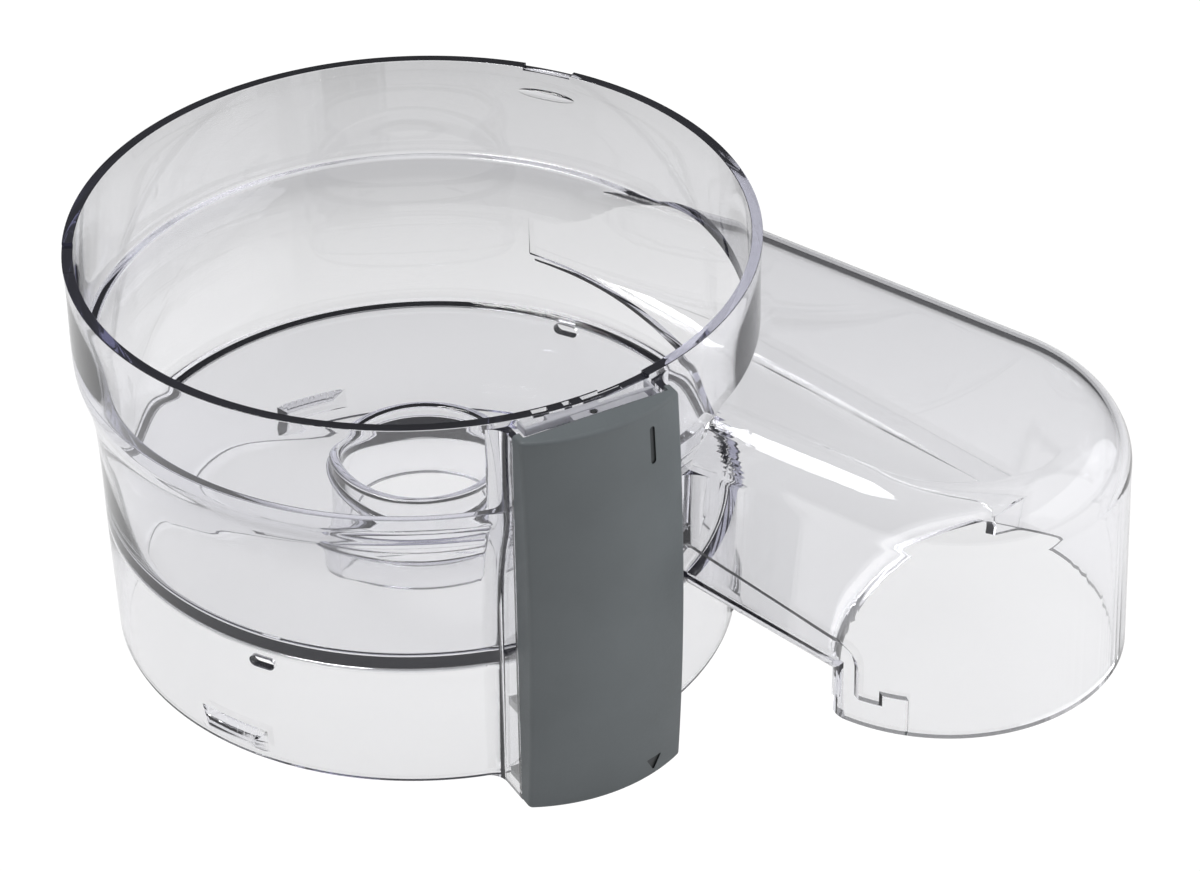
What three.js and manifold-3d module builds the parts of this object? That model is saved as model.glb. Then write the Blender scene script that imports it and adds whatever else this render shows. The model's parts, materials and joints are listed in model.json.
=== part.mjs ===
// The clear work bowl of a food processor, with a discharge chute on its side and a grey handle cover.
// The handle holds the lid interlock: a slider that the lid pushes sideways,
// and a sprung rod that it drives down.
// Millimetres, +Z up. The bowl's axis is vertical and the chute points along +X.
import * as THREE from "three";
import { mergeVertices } from "three/addons/utils/BufferGeometryUtils.js";
import Module from "manifold-3d";

const wasm = await Module();
wasm.setup();

// Fits and cutting
const fit = 0.3; // between pieces that touch
const overrun = 1; // how far a cutting shape passes the face it cuts
const root = 1; // how deep a moulded-on feature is rooted in its wall
const aroundTurns = 72; // facets around the bowl
const arcSteps = 8; // facets in a quarter of a small arc
const filletSteps = 3; // facets in a small hollow corner
const coverLevels = 6; // bands up the curved cover
const holeSides = 24; // facets around holes and discs
const rodSides = 20; // facets around the rod and what sits on it
const pinSides = 16; // facets around screws and the peg
const poleSides = 32; // facets around a pole that cuts a hollow corner
const turnFacets = 3; // flat cuts that round the edge between the ramp and the spout
const weldDistance = 1e-4; // corners nearer than this are one corner
const tidyDistance = 0.01; // edges shorter than this are taken out of the ramp

// Bowl
const bowlHeight = 127;
const rimRadius = 100.2;
const rimWall = 3.2;
const bandDraft = 0.4; // how much narrower than the rim the band is
const bandRadius = rimRadius - bandDraft;
const bandFoot = 96;
const rimShare = 1 / 3; // of the band's height, over which it widens to the rim
const ledgeHeight = 95.1;
const bandWall = 3.8; // at the ledge
const ledgeRadius = bandRadius - bandWall;
const shoulderStep = 4.6; // from the band in to the waist
const waistRadius = bandRadius - shoulderStep;
const waistHeight = 72;
const skirtTaper = 2; // from the waist in to the foot
const baseRadius = waistRadius - skirtTaper;
const wall = 3.1;
const floorTop = 43.4;
const floorThickness = 3.3;
const floorFillet = 3.5;
const skirtWall = 2.7;
const tubeRadius = 28;
const tubeWall = 3.6;
const tubeLip = 5.5;
const tubeDrop = 20;
// Height shares from the waist to the band's foot, with the share of the step that the radius has taken.
const shoulderShares = [[0, 0], [0.33, 0.24], [0.58, 0.5], [0.79, 0.85], [1, 1]];
// Height shares from the bowl's foot to the waist, with the share of the taper that the radius has taken.
const taperShares = [[0, 0], [0.24, 0.25], [0.51, 0.5], [0.79, 0.65]];

// Bayonet lugs on the skirt, which lock the bowl on its motor base
const lugCount = 3;
const lugAzimuth = -90;
const lugArc = 15.5;
const lugFoot = 3.6;
const lugHeight = 7.9;
const lugProud = 2.2;
const lugChamfer = 1.4;

// Lugs inside the band, which lock the lid, each with a shallow notch in the rim above it
const lidLugAzimuth = 101.9;
const lidLugArc = 11.2;
const lidLugDrop = 6.5; // their tops under the rim
const lidLugTop = bowlHeight - lidLugDrop;
const lidLugHeight = 3.4;
const lidLugProud = 1.6;
const notchArc = 9.1;
const notchDepth = 1;

// Drain slots through the skirt under the floor
const drainAzimuth = -82.6;
const drainWidth = 8.1;
const drainHeight = 3.7;
const drainFoot = 34.3;

// Chute
const chuteHalfTop = 52.26;
const chuteNear = 3.06; // its near wall, past the bowl's axis
const chuteMiddle = chuteHalfTop - chuteNear;
const chuteDraft = 1.54; // how much wider each side is at the foot
const chuteOut = 49.9; // from the rim to the centre of the round end
const chuteReach = rimRadius + chuteOut;
const chuteWall = 3;
const chuteFoot = 18.3;
const roofRise = 2.5; // of the roof over the band's foot, at roofStation
const roofHeight = bandFoot + roofRise;
const roofBack = 50.1; // from the round end's centre to roofStation
const roofStation = chuteReach - roofBack;
const roofSlope = -0.047;
const roofFillet = 15.5;
const blendStation = 60; // where the far wall starts to bend in towards the bowl
const blendRadius = 432;
const chuteRoot = -4; // the far wall's feather ends here
const nearBlend = 10; // radius of the corner between the near wall and the bowl
const rampHeight = 38; // top of the ramp at rampStation
const rampBack = 40.1; // from the round end's centre to that point
const rampStation = chuteReach - rampBack;
const rampSlope = -0.19;
const rampCorner = 12;
const rampTurn = 6; // radius where the ramp turns down into the spout
const spoutHalf = 21.7; // from the round end's centre back to the middle of the spout's curved back
const spoutBack = chuteReach - spoutHalf;
const spoutRadius = 87; // of that curved back, seen from above
const spoutCorner = 8;
const lipHeight = 27.8; // foot of the curved back, between two posts that reach down to the spout's foot
const postWidth = 10;
const postCorner = 5;

// Joint between the hood and the ramp, seen from the side
const seamStart = 57.5; // its height at seamStation
const seamBack = 55.1; // from the round end's centre to seamStation
const seamStation = chuteReach - seamBack;
const seamSlope = -0.255;
const seamTurn = 8.2; // radius where it turns down
const seamOut = 5.1; // from the round end's centre to where it runs straight down
const seamDrop = chuteReach + seamOut;
const tabShoulder = 27; // height of the tab's first step
const tabTop = 30.6;
const tabRun = 8; // from the seam's drop to the tab's step
const tabStep = seamDrop + tabRun;
const tabWidth = 9;
const tabEnd = tabStep + tabWidth;

// Handle, in its own axes: X outwards from the bowl's axis, Y along the rim, Z up
const handleAzimuth = -26.1;
const handleShift = 0.5; // the cover's middle, along the rim from the azimuth's line
const coverHalf = 24.5;
const coverOut = 14.2; // its front face past the rim, at its top and foot
const coverFront = rimRadius + coverOut;
const coverRadius = 52.8;
const coverBackOut = 3.8; // its back edges past the rim
const coverBack = rimRadius + coverBackOut;
const coverWall = 2.2;
const coverBulge = 3;
const coverFoot = 0.5;
const coverDrop = 0.4; // its top under the rim's
const coverEdge = 1.5; // bevel along the top and bottom edges
const coverLipOut = 6.1; // the back edge of its top face, past the rim
const coverLip = rimRadius + coverLipOut;
const lipThickness = 2.3;
const barOffset = 13.3;
const barWidth = 1.8;
const barDrop = 4.8; // its top under the cover's
const barHeight = 11.6;
const markDepth = 0.5;
const arrowTop = 7.6;
const arrowWidth = 5.6;
const arrowHeight = 5;
const bossOffset = 13.5;
const bossRadius = 3;
const bossHeight = 9;
const bossOut = 6.8; // its axis past the rim
const bossReach = rimRadius + bossOut;
const sideWall = 2.2;
const sideInset = 0.3; // the clear side walls stand this far inside the cover's sides
const tongueWall = 1.6;
const tongueOut = 5.8; // its front edge past the rim
const tongueReach = rimRadius + tongueOut;
const tongueDepth = 5;
const tongueRoot = tongueReach - tongueDepth;
const sideRound = 6; // radius of the hollow corner between a side wall and the bowl
// Heights of that corner's rings, as shares of the side wall's height.
const cornerShares = [0, 0.28, 0.57, 0.64, 0.7, 0.76, 1];
// Windows in the rim's top over the handle: middle and width, as shares of the cover's half width.
const windowShares = [[-0.53, 0.19], [-0.2, 0.09], [0.25, 0.53]];
const windowDepth = 1.2;
const windowWall = 0.7; // left standing on each side of a window

// Interlock
const rodOut = 4.7; // the rod's axis past the rim
const rodReach = rimRadius + rodOut;
const rodRadius = 2.5;
const travel = 8; // of the slider
const drive = 0.75; // of the rod, for each unit of the slider
const sliderHalf = 2.45;
const sliderHeight = 4.1;
const sliderRibHalf = 1.25;
const sliderRibHeight = 2.6;
const sliderFoot = bowlHeight - coverDrop - sliderRibHeight - sliderHeight;
const sliderLeft = 9.1;
const sliderRight = 19.8;
const wedgeHalf = 1.2;
const wedgeRoot = 2.3; // least depth of the wedge under the slider
const wedgeMargin = 2.7;
const squareHole = 2.6;
const squareOffset = 17.6;
const pegRadius = 0.9;
const pegHeight = 4.4;
const plateThickness = 2.5;
const plateGap = 0.9; // from the plate's front edge back to the cover's edges
const plateReach = coverBack - plateGap;
const railThickness = 1.2;
const railLip = 1.8;
const railInner = -11.5;
const railOuter = 2.2;
const ledgeLeft = -16;
const ledgeRight = 12;
const slotMargin = 1.2; // left standing in front of the slots
const slotReach = plateReach - slotMargin;
const slotLeft = [-19.3, -12.6];
const slotRight = [3.4, 18.9];
const upperGuideDrop = 23.4; // its foot under the slider's
const upperGuideFoot = sliderFoot - upperGuideDrop;
const lowerGuideFoot = 26;
const guideThickness = 3;
const springCurls = 9;
const springWire = 0.9;
const springRadius = 4;
const springHeight = 28.4;
const wireSides = 5;
const curlSteps = 8;
const washerThickness = 0.8;
const washerRadius = 4.6;
const clipThickness = 0.8;
const clipRadius = 4.4;
const grooveDepth = 0.6;
const clipMouth = 3.2;
const footRadius = 3.5;
const footLift = 7.6;
const footHeight = 9;
const footWall = 1.6;
const capThickness = 2.6;
const capLift = 0.8;
const capCollar = 1.4;
const screwRadius = 1.3;
const screwLength = 8;
const screwHead = 2.5;
const screwHeadHeight = 1.2;
const screwSlot = 0.6;

// Looks
const clearPlastic = { color: 0xdfe3e6, roughness: 0.06, metalness: 0, transparent: true, opacity: 0.35 };
const greyPlastic = { color: 0x636a6d, roughness: 0.55, metalness: 0 };
const whitePlastic = { color: 0xe4e5e2, roughness: 0.45, metalness: 0 };
const springSteel = { color: 0xb9bcc0, roughness: 0.3, metalness: 1 };
const darkPlastic = { color: 0x2b2d2f, roughness: 0.6, metalness: 0 };

const degrees = THREE.MathUtils.degToRad;

// A closed geometry as a solid that can be joined and cut.
function solid(geometry) {
  const bare = new THREE.BufferGeometry();
  bare.setAttribute("position", geometry.getAttribute("position"));
  if (geometry.index) bare.setIndex(geometry.index);
  const merged = mergeVertices(bare, weldDistance);
  const vertProperties = merged.attributes.position.array;
  const triVerts = new Uint32Array(merged.index.array);
  return new wasm.Manifold(new wasm.Mesh({ numProp: 3, vertProperties, triVerts }));
}

// A solid back as a geometry.
function geometryOf(shape) {
  const mesh = shape.getMesh();
  const geometry = new THREE.BufferGeometry();
  geometry.setAttribute("position", new THREE.BufferAttribute(mesh.vertProperties, 3));
  geometry.setIndex(new THREE.BufferAttribute(mesh.triVerts, 1));
  return geometry;
}

function shapeOf(points) {
  return new THREE.Shape(points.map(([x, y]) => new THREE.Vector2(x, y)));
}

// A plan outline raised from one height to another.
function upright(points, low, high) {
  const settings = { depth: high - low, bevelEnabled: false };
  return new THREE.ExtrudeGeometry(shapeOf(points), settings).translate(0, 0, low);
}

// An outline of X and Z carried along Y.
function across(points, low, high) {
  const settings = { depth: high - low, bevelEnabled: false };
  const geometry = new THREE.ExtrudeGeometry(shapeOf(points), settings);
  return geometry.rotateX(Math.PI / 2).translate(0, high, 0);
}

// An outline of Y and Z carried along X.
function along(points, low, high) {
  const settings = { depth: high - low, bevelEnabled: false };
  const geometry = new THREE.ExtrudeGeometry(shapeOf(points), settings);
  return geometry.rotateX(Math.PI / 2).rotateZ(Math.PI / 2).translate(low, 0, 0);
}

// A block between two corners.
function block([x0, y0, z0], [x1, y1, z1]) {
  const geometry = new THREE.BoxGeometry(x1 - x0, y1 - y0, z1 - z0);
  return geometry.translate((x0 + x1) / 2, (y0 + y1) / 2, (z0 + z1) / 2);
}

// An upright cylinder.
function disc(radius, low, high, sides = holeSides) {
  const geometry = new THREE.CylinderGeometry(radius, radius, high - low, sides);
  return geometry.rotateX(Math.PI / 2).translate(0, 0, (low + high) / 2);
}

// A closed profile of radius and height turned around Z.
function turned(profile, sides = aroundTurns) {
  const points = [...profile, profile[0]].map(([r, z]) => new THREE.Vector2(r, z));
  return new THREE.LatheGeometry(points, sides).rotateX(Math.PI / 2);
}

// Points of an arc, from one angle to another in degrees.
function arc(x, y, radius, from, to, steps = arcSteps) {
  return Array.from({ length: steps + 1 }, (_, i) => {
    const angle = degrees(from + ((to - from) * i) / steps);
    return [x + radius * Math.cos(angle), y + radius * Math.sin(angle)];
  });
}

// A solid through a stack of convex rings that all have the same number of points, lowest ring first.
function stack(rings) {
  const count = rings[0].length;
  const positions = rings.flat(2);
  const index = [];
  for (let level = 1; level < rings.length; level++) {
    for (let i = 0; i < count; i++) {
      const a = (level - 1) * count + i;
      const b = (level - 1) * count + ((i + 1) % count);
      index.push(a, b, b + count, a, b + count, a + count);
    }
  }
  const ends = [rings[0], rings.at(-1)];
  ends.forEach((ring, end) => {
    const centre = positions.length / 3;
    for (let axis = 0; axis < 3; axis++) {
      positions.push(ring.reduce((sum, point) => sum + point[axis], 0) / count);
    }
    const first = end ? (rings.length - 1) * count : 0;
    for (let i = 0; i < count; i++) {
      const pair = [first + i, first + ((i + 1) % count)];
      if (!end) pair.reverse();
      index.push(centre, ...pair);
    }
  });
  const geometry = new THREE.BufferGeometry();
  geometry.setAttribute("position", new THREE.Float32BufferAttribute(positions, 3));
  geometry.setIndex(index);
  return geometry;
}

// The bowl's outer radius at its profile's heights, from the foot up.
function outerWall(extra = 0) {
  const taper = taperShares.map(([height, share]) => [
    baseRadius + (waistRadius - baseRadius) * share + extra,
    waistHeight * height,
  ]);
  const shoulder = shoulderShares.map(([height, share]) => [
    waistRadius + (bandRadius - waistRadius) * share + extra,
    waistHeight + (bandFoot - waistHeight) * height,
  ]);
  const rimFoot = bowlHeight - rimShare * (bowlHeight - bandFoot);
  return [...taper, ...shoulder, [bandRadius + extra, rimFoot], [rimRadius + extra, bowlHeight]];
}

// The outer radius at one height.
function outerRadius(height) {
  const profile = outerWall();
  const above = Math.max(1, profile.findIndex(([, z]) => z >= height));
  const [r0, z0] = profile[above - 1];
  const [r1, z1] = profile[above];
  return r0 + ((r1 - r0) * (height - z0)) / (z1 - z0);
}

// The space inside the bowl's outer skin, grown by a gap and long enough to cut with.
function envelope(gap) {
  const outer = outerWall(gap);
  const foot = [outer[0][0], -overrun];
  const top = [outer.at(-1)[0], bowlHeight + overrun];
  return solid(turned([[0, -overrun], foot, ...outer, top, [0, bowlHeight + overrun]]));
}

function handleSolid(geometry) {
  return solid(geometry.translate(0, handleShift, 0).rotateZ(degrees(handleAzimuth)));
}

// The chute's plan outline, drawn in by an inset, at one height.
function chuteRing(inset, height) {
  const half = chuteHalfTop + (chuteDraft * (roofHeight - height)) / (roofHeight - chuteFoot) - inset;
  const near = chuteMiddle - half;
  const round = arc(chuteReach, chuteMiddle, half, -90, 90, 3 * arcSteps);
  const bend = blendRadius - inset;
  const centre = chuteMiddle + half - bend;
  const foot = 90 + THREE.MathUtils.radToDeg(Math.asin((blendStation - chuteRoot) / bend));
  const blend = arc(blendStation, centre, bend, 90, foot, arcSteps);
  return [[blendStation, near], ...round, ...blend];
}

// The space inside the chute's walls and roof, drawn in by an inset.
function chuteSpace(inset) {
  const roofAt = (station) => roofHeight - inset + roofSlope * (station - roofStation);
  const low = chuteFoot - overrun * inset;
  const fillet = roofFillet - inset;
  const rings = [chuteRing(inset, chuteFoot).map(([x, y]) => [x, y, low])];
  for (let step = 0; step <= arcSteps; step++) {
    const angle = degrees((90 * step) / arcSteps);
    const drawn = inset + fillet * (1 - Math.cos(angle));
    const ring = chuteRing(drawn, roofHeight);
    rings.push(ring.map(([x, y]) => [x, y, roofAt(x) - fillet * (1 - Math.sin(angle))]));
  }
  return solid(stack(rings));
}

// A sheared trough under the roof: everything over the ramp, with its lower corners rounded.
function troughSpace(inset) {
  const half = chuteHalfTop + chuteDraft - inset;
  const corner = rampCorner - inset;
  const low = rampHeight - chuteWall + inset;
  const left = arc(chuteMiddle - half + corner, low + corner, corner, 180, 270);
  const right = arc(chuteMiddle + half - corner, low + corner, corner, 270, 360);
  const top = roofHeight + roofFillet;
  const outline = [...left, ...right, [chuteMiddle + half, top], [chuteMiddle - half, top]];
  const trough = along(outline, chuteRoot - wall, chuteReach);
  const slope = new THREE.Matrix4().set(1, 0, 0, 0, 0, 1, 0, 0, rampSlope, 0, 1, 0, 0, 0, 0, 1);
  trough.translate(-rampStation, 0, 0).applyMatrix4(slope).translate(rampStation, 0, 0);
  return solid(trough);
}

// The upright spout: its back is an arc, with rounded corners to the side walls.
function spoutSpace(inset) {
  const half = chuteHalfTop + chuteDraft - inset;
  const corner = spoutCorner - inset;
  const bend = spoutRadius - inset;
  const swing = spoutSwing();
  const centre = spoutBack + spoutRadius;
  const x = centre - (bend - corner) * Math.cos(degrees(swing));
  const end = chuteReach + chuteHalfTop + chuteDraft;
  const low = chuteMiddle - half;
  const high = chuteMiddle + half;
  const outline = [
    ...arc(x, low + corner, corner, 180 + swing, 270),
    [end, low],
    [end, high],
    ...arc(x, high - corner, corner, 90, 180 - swing),
    ...arc(centre, chuteMiddle, bend, 180 - swing, 180 + swing, 2 * arcSteps).slice(1, -1),
  ];
  return solid(upright(outline, chuteFoot - overrun * inset, roofHeight));
}

// How far the spout's curved back reaches to each side, in degrees around its centre.
function spoutSwing() {
  const half = chuteHalfTop + chuteDraft - spoutCorner;
  return THREE.MathUtils.radToDeg(Math.asin(half / (spoutRadius - spoutCorner)));
}

// Rounds the edge where the ramp turns down into the spout, with a few flat cuts along the curved back.
function turnFillet(inset) {
  const round = rampTurn - chuteWall + inset;
  const bend = spoutRadius - inset;
  const centre = spoutBack + spoutRadius;
  const high = rampHeight - chuteWall + inset;
  const corner = (step) => {
    const angle = degrees((90 * step) / turnFacets);
    return [bend + round * (1 - Math.cos(angle)), high - round * (1 - Math.sin(angle))];
  };
  const cuts = [];
  for (let step = 1; step <= turnFacets; step++) {
    const [r0, z0] = corner(step - 1);
    const [r1, z1] = corner(step);
    const steep = (z1 - z0) / (r1 - r0);
    cuts.push([
      [bend - overrun, z0 - steep * (r0 - bend + overrun)],
      [bend - overrun, high + overrun],
      [r1 + (high + overrun - z1) / steep, high + overrun],
    ]);
  }
  const flat = chuteHalfTop + chuteDraft - rampCorner - overrun;
  const swing = Math.asin(flat / cuts.at(-1)[2][0]);
  const swept = cuts.map((profile) => {
    const rings = [];
    for (let step = -arcSteps; step <= arcSteps; step++) {
      const angle = Math.PI + (swing * step) / arcSteps;
      rings.push(profile.map(([r, z]) => {
        const x = centre + r * Math.cos(angle);
        return [x, chuteMiddle + r * Math.sin(angle), z + rampSlope * (x - rampStation)];
      }));
    }
    return solid(stack(rings));
  });
  return swept.reduce((whole, cut) => whole.add(cut));
}

// The opening under the spout's curved back, between its posts.
function lipWindow() {
  const half = chuteHalfTop + chuteDraft - postWidth;
  const side = half - postCorner;
  const level = lipHeight - postCorner;
  const outline = [
    [chuteMiddle - half, -overrun],
    [chuteMiddle + half, -overrun],
    ...arc(chuteMiddle + side, level, postCorner, 0, 90),
    ...arc(chuteMiddle - side, level, postCorner, 90, 180),
  ];
  return solid(along(outline, spoutBack - overrun, chuteReach));
}

// The corner between the near wall and the bowl, filled to a hollow curve.
function nearCorner() {
  const near = chuteMiddle - chuteHalfTop;
  const y = near - nearBlend;
  const x = Math.sqrt((waistRadius + nearBlend) ** 2 - y ** 2);
  const touch = THREE.MathUtils.radToDeg(Math.atan2(-y, -x));
  const curve = arc(x, y, nearBlend, 90, touch);
  const outline = [[x, near + wall], ...curve, [blendStation, y], [blendStation, near + wall]];
  return solid(upright(outline, seamStart, roofHeight - roofFillet));
}

// Everything under the joint between hood and ramp, moved sideways and down.
function underSeam(side, down) {
  const line = (x) => seamStart + seamSlope * (x - seamStation);
  const seamBend = seamDrop - seamTurn;
  const bend = arc(seamBend, line(seamBend) - seamTurn, seamTurn, 90, 0);
  const outline = [
    [-seamStation, line(-seamStation)],
    ...bend,
    [seamDrop, tabShoulder],
    [tabStep, tabShoulder],
    [tabStep, tabTop],
    [tabEnd, tabTop],
    [tabEnd, -overrun],
    [-seamStation, -overrun],
  ].map(([x, z]) => [x + side, z - down]);
  const reach = chuteMiddle + chuteHalfTop + roofFillet;
  return solid(across(outline, -reach, reach));
}

const chuteVoid = chuteSpace(chuteWall).intersect(
  troughSpace(chuteWall).add(spoutSpace(chuteWall)).add(turnFillet(chuteWall)),
);

function chuteShell() {
  const skin = chuteSpace(0).intersect(troughSpace(0).add(spoutSpace(0)).add(turnFillet(0)));
  return skin.add(nearCorner()).subtract(chuteVoid).subtract(envelope(fit)).subtract(lipWindow());
}

const shell = chuteShell();

function chuteHood() {
  return shell.subtract(underSeam(0, 0));
}

function chuteRamp() {
  return shell.intersect(underSeam(-fit, fit)).intersect(underSeam(fit, fit)).simplify(tidyDistance);
}

// The turned body: band, ledge, wall, floor, centre tube and skirt.
function bowlShell() {
  const outer = outerWall();
  const floorFoot = floorTop - floorThickness;
  const inside = (height) => outerRadius(height) - wall;
  const innerFloor = inside(floorTop);
  const fillet = arc(innerFloor - floorFillet, floorTop + floorFillet, floorFillet, 0, -90, filletSteps);
  const tubeTop = floorTop + tubeLip;
  const tubeFoot = floorFoot - tubeDrop;
  return solid(turned([
    ...outer,
    [rimRadius - rimWall, bowlHeight],
    [ledgeRadius, ledgeHeight],
    [ledgeRadius - wall, ledgeHeight],
    [inside(waistHeight + wall), waistHeight],
    ...fillet,
    [tubeRadius, floorTop],
    [tubeRadius, tubeTop],
    [tubeRadius - tubeWall, tubeTop],
    [tubeRadius - tubeWall, tubeFoot],
    [tubeRadius, tubeFoot],
    [tubeRadius, floorFoot],
    [outerRadius(floorFoot) - skirtWall, floorFoot],
    [baseRadius - skirtWall, 0],
  ]));
}

// A stretch of a turned profile, centred on an azimuth.
function sector(profile, azimuth, degreesWide, steps = arcSteps) {
  const rings = [];
  for (let step = 0; step <= steps; step++) {
    const angle = degrees(azimuth + degreesWide * (step / steps - 1 / 2));
    rings.push(profile.map(([r, z]) => [r * Math.cos(angle), r * Math.sin(angle), z]));
  }
  return solid(stack(rings));
}

function bayonetLug(azimuth) {
  const inside = baseRadius - root;
  const proud = baseRadius + lugProud;
  const top = lugFoot + lugHeight;
  const profile = [
    [inside, lugFoot],
    [inside, top],
    [proud - lugChamfer, top],
    [proud, top - lugChamfer],
    [proud, lugFoot + lugChamfer],
    [proud - lugChamfer, lugFoot],
  ];
  return sector(profile, azimuth, lugArc);
}

function lidLug(azimuth) {
  const wallFace = rimRadius - rimWall + root;
  const face = ledgeRadius - lidLugProud;
  const profile = [
    [wallFace, lidLugTop - lidLugHeight - lidLugProud],
    [wallFace, lidLugTop],
    [face, lidLugTop],
    [face, lidLugTop - lidLugHeight],
  ].reverse();
  return sector(profile, azimuth, lidLugArc);
}

function rimNotch(azimuth) {
  const low = bowlHeight - notchDepth;
  const inner = ledgeRadius - overrun;
  const outer = rimRadius + overrun;
  const profile = [[inner, low], [inner, bowlHeight + overrun], [outer, bowlHeight + overrun], [outer, low]];
  return sector(profile, azimuth, notchArc);
}

function drainSlot(azimuth) {
  const half = drainWidth / 2 - drainHeight / 2;
  const middle = drainFoot + drainHeight / 2;
  const right = arc(half, middle, drainHeight / 2, -90, 90);
  const left = arc(-half, middle, drainHeight / 2, 90, 270);
  const cutter = along([...right, ...left], baseRadius - wall - root, waistRadius + overrun);
  return solid(cutter.rotateZ(degrees(azimuth)));
}

// One clear side wall of the handle, with the tongue that the cover slides over.
function handleSide(side) {
  const top = bowlHeight - coverDrop - coverEdge;
  const face = coverHalf - sideInset;
  const inner = waistRadius - wall;
  const place = (near, far) => (side > 0 ? [near, far] : [-far, -near]);
  const [w0, w1] = place(face - sideWall, face);
  const [t0, t1] = place(coverHalf - coverWall - fit - tongueWall, coverHalf - coverWall - fit);
  const web = block([inner, w0, coverFoot], [coverBack - fit, w1, top]);
  const tongue = block([tongueRoot, t0, coverFoot], [tongueReach, t1, top - lipThickness]);
  const shoulder = block(
    [tongueRoot, Math.min(t0, w0), coverFoot],
    [coverBack - fit, Math.max(t1, w1), top - lipThickness],
  );
  const walls = [web, tongue, shoulder].map((geometry) => handleSolid(geometry));
  walls.push(sideCorner(side, top));
  return walls.reduce((joined, part) => joined.add(part)).subtract(envelope(-root));
}

// The hollow corner between a side wall and the bowl: a wedge less a round pole that touches both.
function sideCorner(side, top) {
  const face = coverHalf - sideInset + side * handleShift;
  const y = face + sideRound;
  const wedge = [];
  const pole = [];
  for (const z of cornerShares.map((share) => coverFoot + share * (top - coverFoot))) {
    const skin = outerRadius(z);
    const x = Math.sqrt((skin + sideRound) ** 2 - y ** 2);
    const inward = (skin - root) / (skin + sideRound);
    const under = Math.sqrt((skin - root) ** 2 - (face - root) ** 2);
    const plan = [[under, face - root], [x, face - root], [x, y], [x * inward, y * inward]];
    const circle = arc(x, y, sideRound, 0, 360, poleSides).slice(0, -1);
    for (const [rings, outline] of [[wedge, plan], [pole, circle]]) {
      const ring = outline.map(([px, py]) => [px, side * py - handleShift, z]);
      rings.push(side > 0 ? ring : ring.reverse());
    }
  }
  return handleSolid(stack(wedge)).subtract(handleSolid(stack(pole)));
}

function rimWindow([middle, width]) {
  const inner = rimRadius - rimWall + windowWall;
  const outer = rimRadius - windowWall;
  const span = THREE.MathUtils.radToDeg((width * coverHalf) / rimRadius);
  const offset = middle * coverHalf + handleShift;
  const azimuth = handleAzimuth + THREE.MathUtils.radToDeg(offset / rimRadius);
  const low = bowlHeight - windowDepth;
  const profile = [[inner, low], [inner, bowlHeight + overrun], [outer, bowlHeight + overrun], [outer, low]];
  return sector(profile, azimuth, span);
}

// The chute's space where it passes through the bowl's wall, from the flat floor's edge outwards.
function chuteMouth() {
  const floorEdge = outerRadius(floorTop) - wall - floorFillet;
  return chuteVoid.subtract(solid(disc(floorEdge, -overrun, ledgeHeight, aroundTurns)));
}

function bowlBody() {
  let body = bowlShell().subtract(chuteMouth());
  for (let i = 0; i < lugCount; i++) {
    const turn = (360 * i) / lugCount;
    body = body.add(bayonetLug(lugAzimuth + turn)).add(lidLug(lidLugAzimuth + turn));
    body = body.subtract(rimNotch(lidLugAzimuth + turn));
  }
  for (const side of [1, -1]) body = body.add(handleSide(side));
  for (const turn of [0, 180]) body = body.subtract(drainSlot(drainAzimuth + turn));
  for (const share of windowShares) body = body.subtract(rimWindow(share));
  return body;
}

// The cover's plan outline at one height, drawn in by an inset, with its back edge at a reach.
function coverRing(inset, height, back) {
  const share = (2 * height) / bowlHeight - 1;
  const front = coverFront + coverBulge * (1 - share ** 2) - inset;
  const half = coverHalf - inset;
  const centre = front + inset - coverRadius;
  const radius = coverRadius - inset;
  const swing = THREE.MathUtils.radToDeg(Math.asin(half / radius));
  return [[back, half], [back, -half], ...arc(centre, 0, radius, -swing, swing, 2 * arcSteps)];
}

// The cover's space between two heights, drawn in by an inset, with its top and foot bevelled by an edge.
function coverSpace(inset, low, high, back, edge) {
  const ringAt = (drawn, height) => coverRing(drawn, height, back).map(([x, y]) => [x, y, height]);
  const rings = [ringAt(inset + edge, low)];
  for (let level = 0; level <= coverLevels; level++) {
    rings.push(ringAt(inset, low + edge + ((high - low - 2 * edge) * level) / coverLevels));
  }
  rings.push(ringAt(inset + edge, high));
  return solid(stack(rings));
}

function handleCover() {
  const top = bowlHeight - coverDrop;
  const skin = coverSpace(0, coverFoot, top, coverBack, coverEdge);
  const hollow = coverSpace(coverWall, -overrun, top - lipThickness, coverBack - overrun, 0);
  const back = solid(block(
    [coverBack - overrun, coverWall - coverHalf, top - lipThickness - overrun],
    [coverLip, coverHalf - coverWall, top + overrun],
  ));
  let cover = skin.subtract(hollow).subtract(back);
  const inside = coverSpace(coverWall - root / 2, coverFoot, top, coverLip, 0);
  const ledgeTop = sliderFoot - fit;
  const shelf = solid(block(
    [rodReach + wedgeHalf + fit, ledgeLeft, ledgeTop - railLip],
    [coverFront + coverBulge, ledgeRight, ledgeTop],
  ));
  cover = cover.add(shelf.intersect(inside));
  for (const side of [1, -1]) cover = cover.add(coverBoss(side * bossOffset).intersect(inside));
  const barEnd = barWidth / 2;
  const barTop = top - barDrop - barEnd;
  const barOutline = [
    ...arc(barOffset, barTop, barEnd, 0, 180),
    ...arc(barOffset, barTop + barWidth - barHeight, barEnd, 180, 360),
  ];
  const bar = solid(along(barOutline, coverFront - coverRadius, coverFront + coverBulge));
  const arrow = solid(along(
    [
      [barOffset - arrowWidth / 2, arrowTop],
      [barOffset, arrowTop - arrowHeight],
      [barOffset + arrowWidth / 2, arrowTop],
    ],
    coverFront - coverRadius,
    coverFront + coverBulge,
  ));
  const core = coverSpace(markDepth, coverFoot - overrun, bowlHeight, coverBack - overrun, 0);
  return cover.subtract(bar.add(arrow).subtract(core));
}

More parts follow.
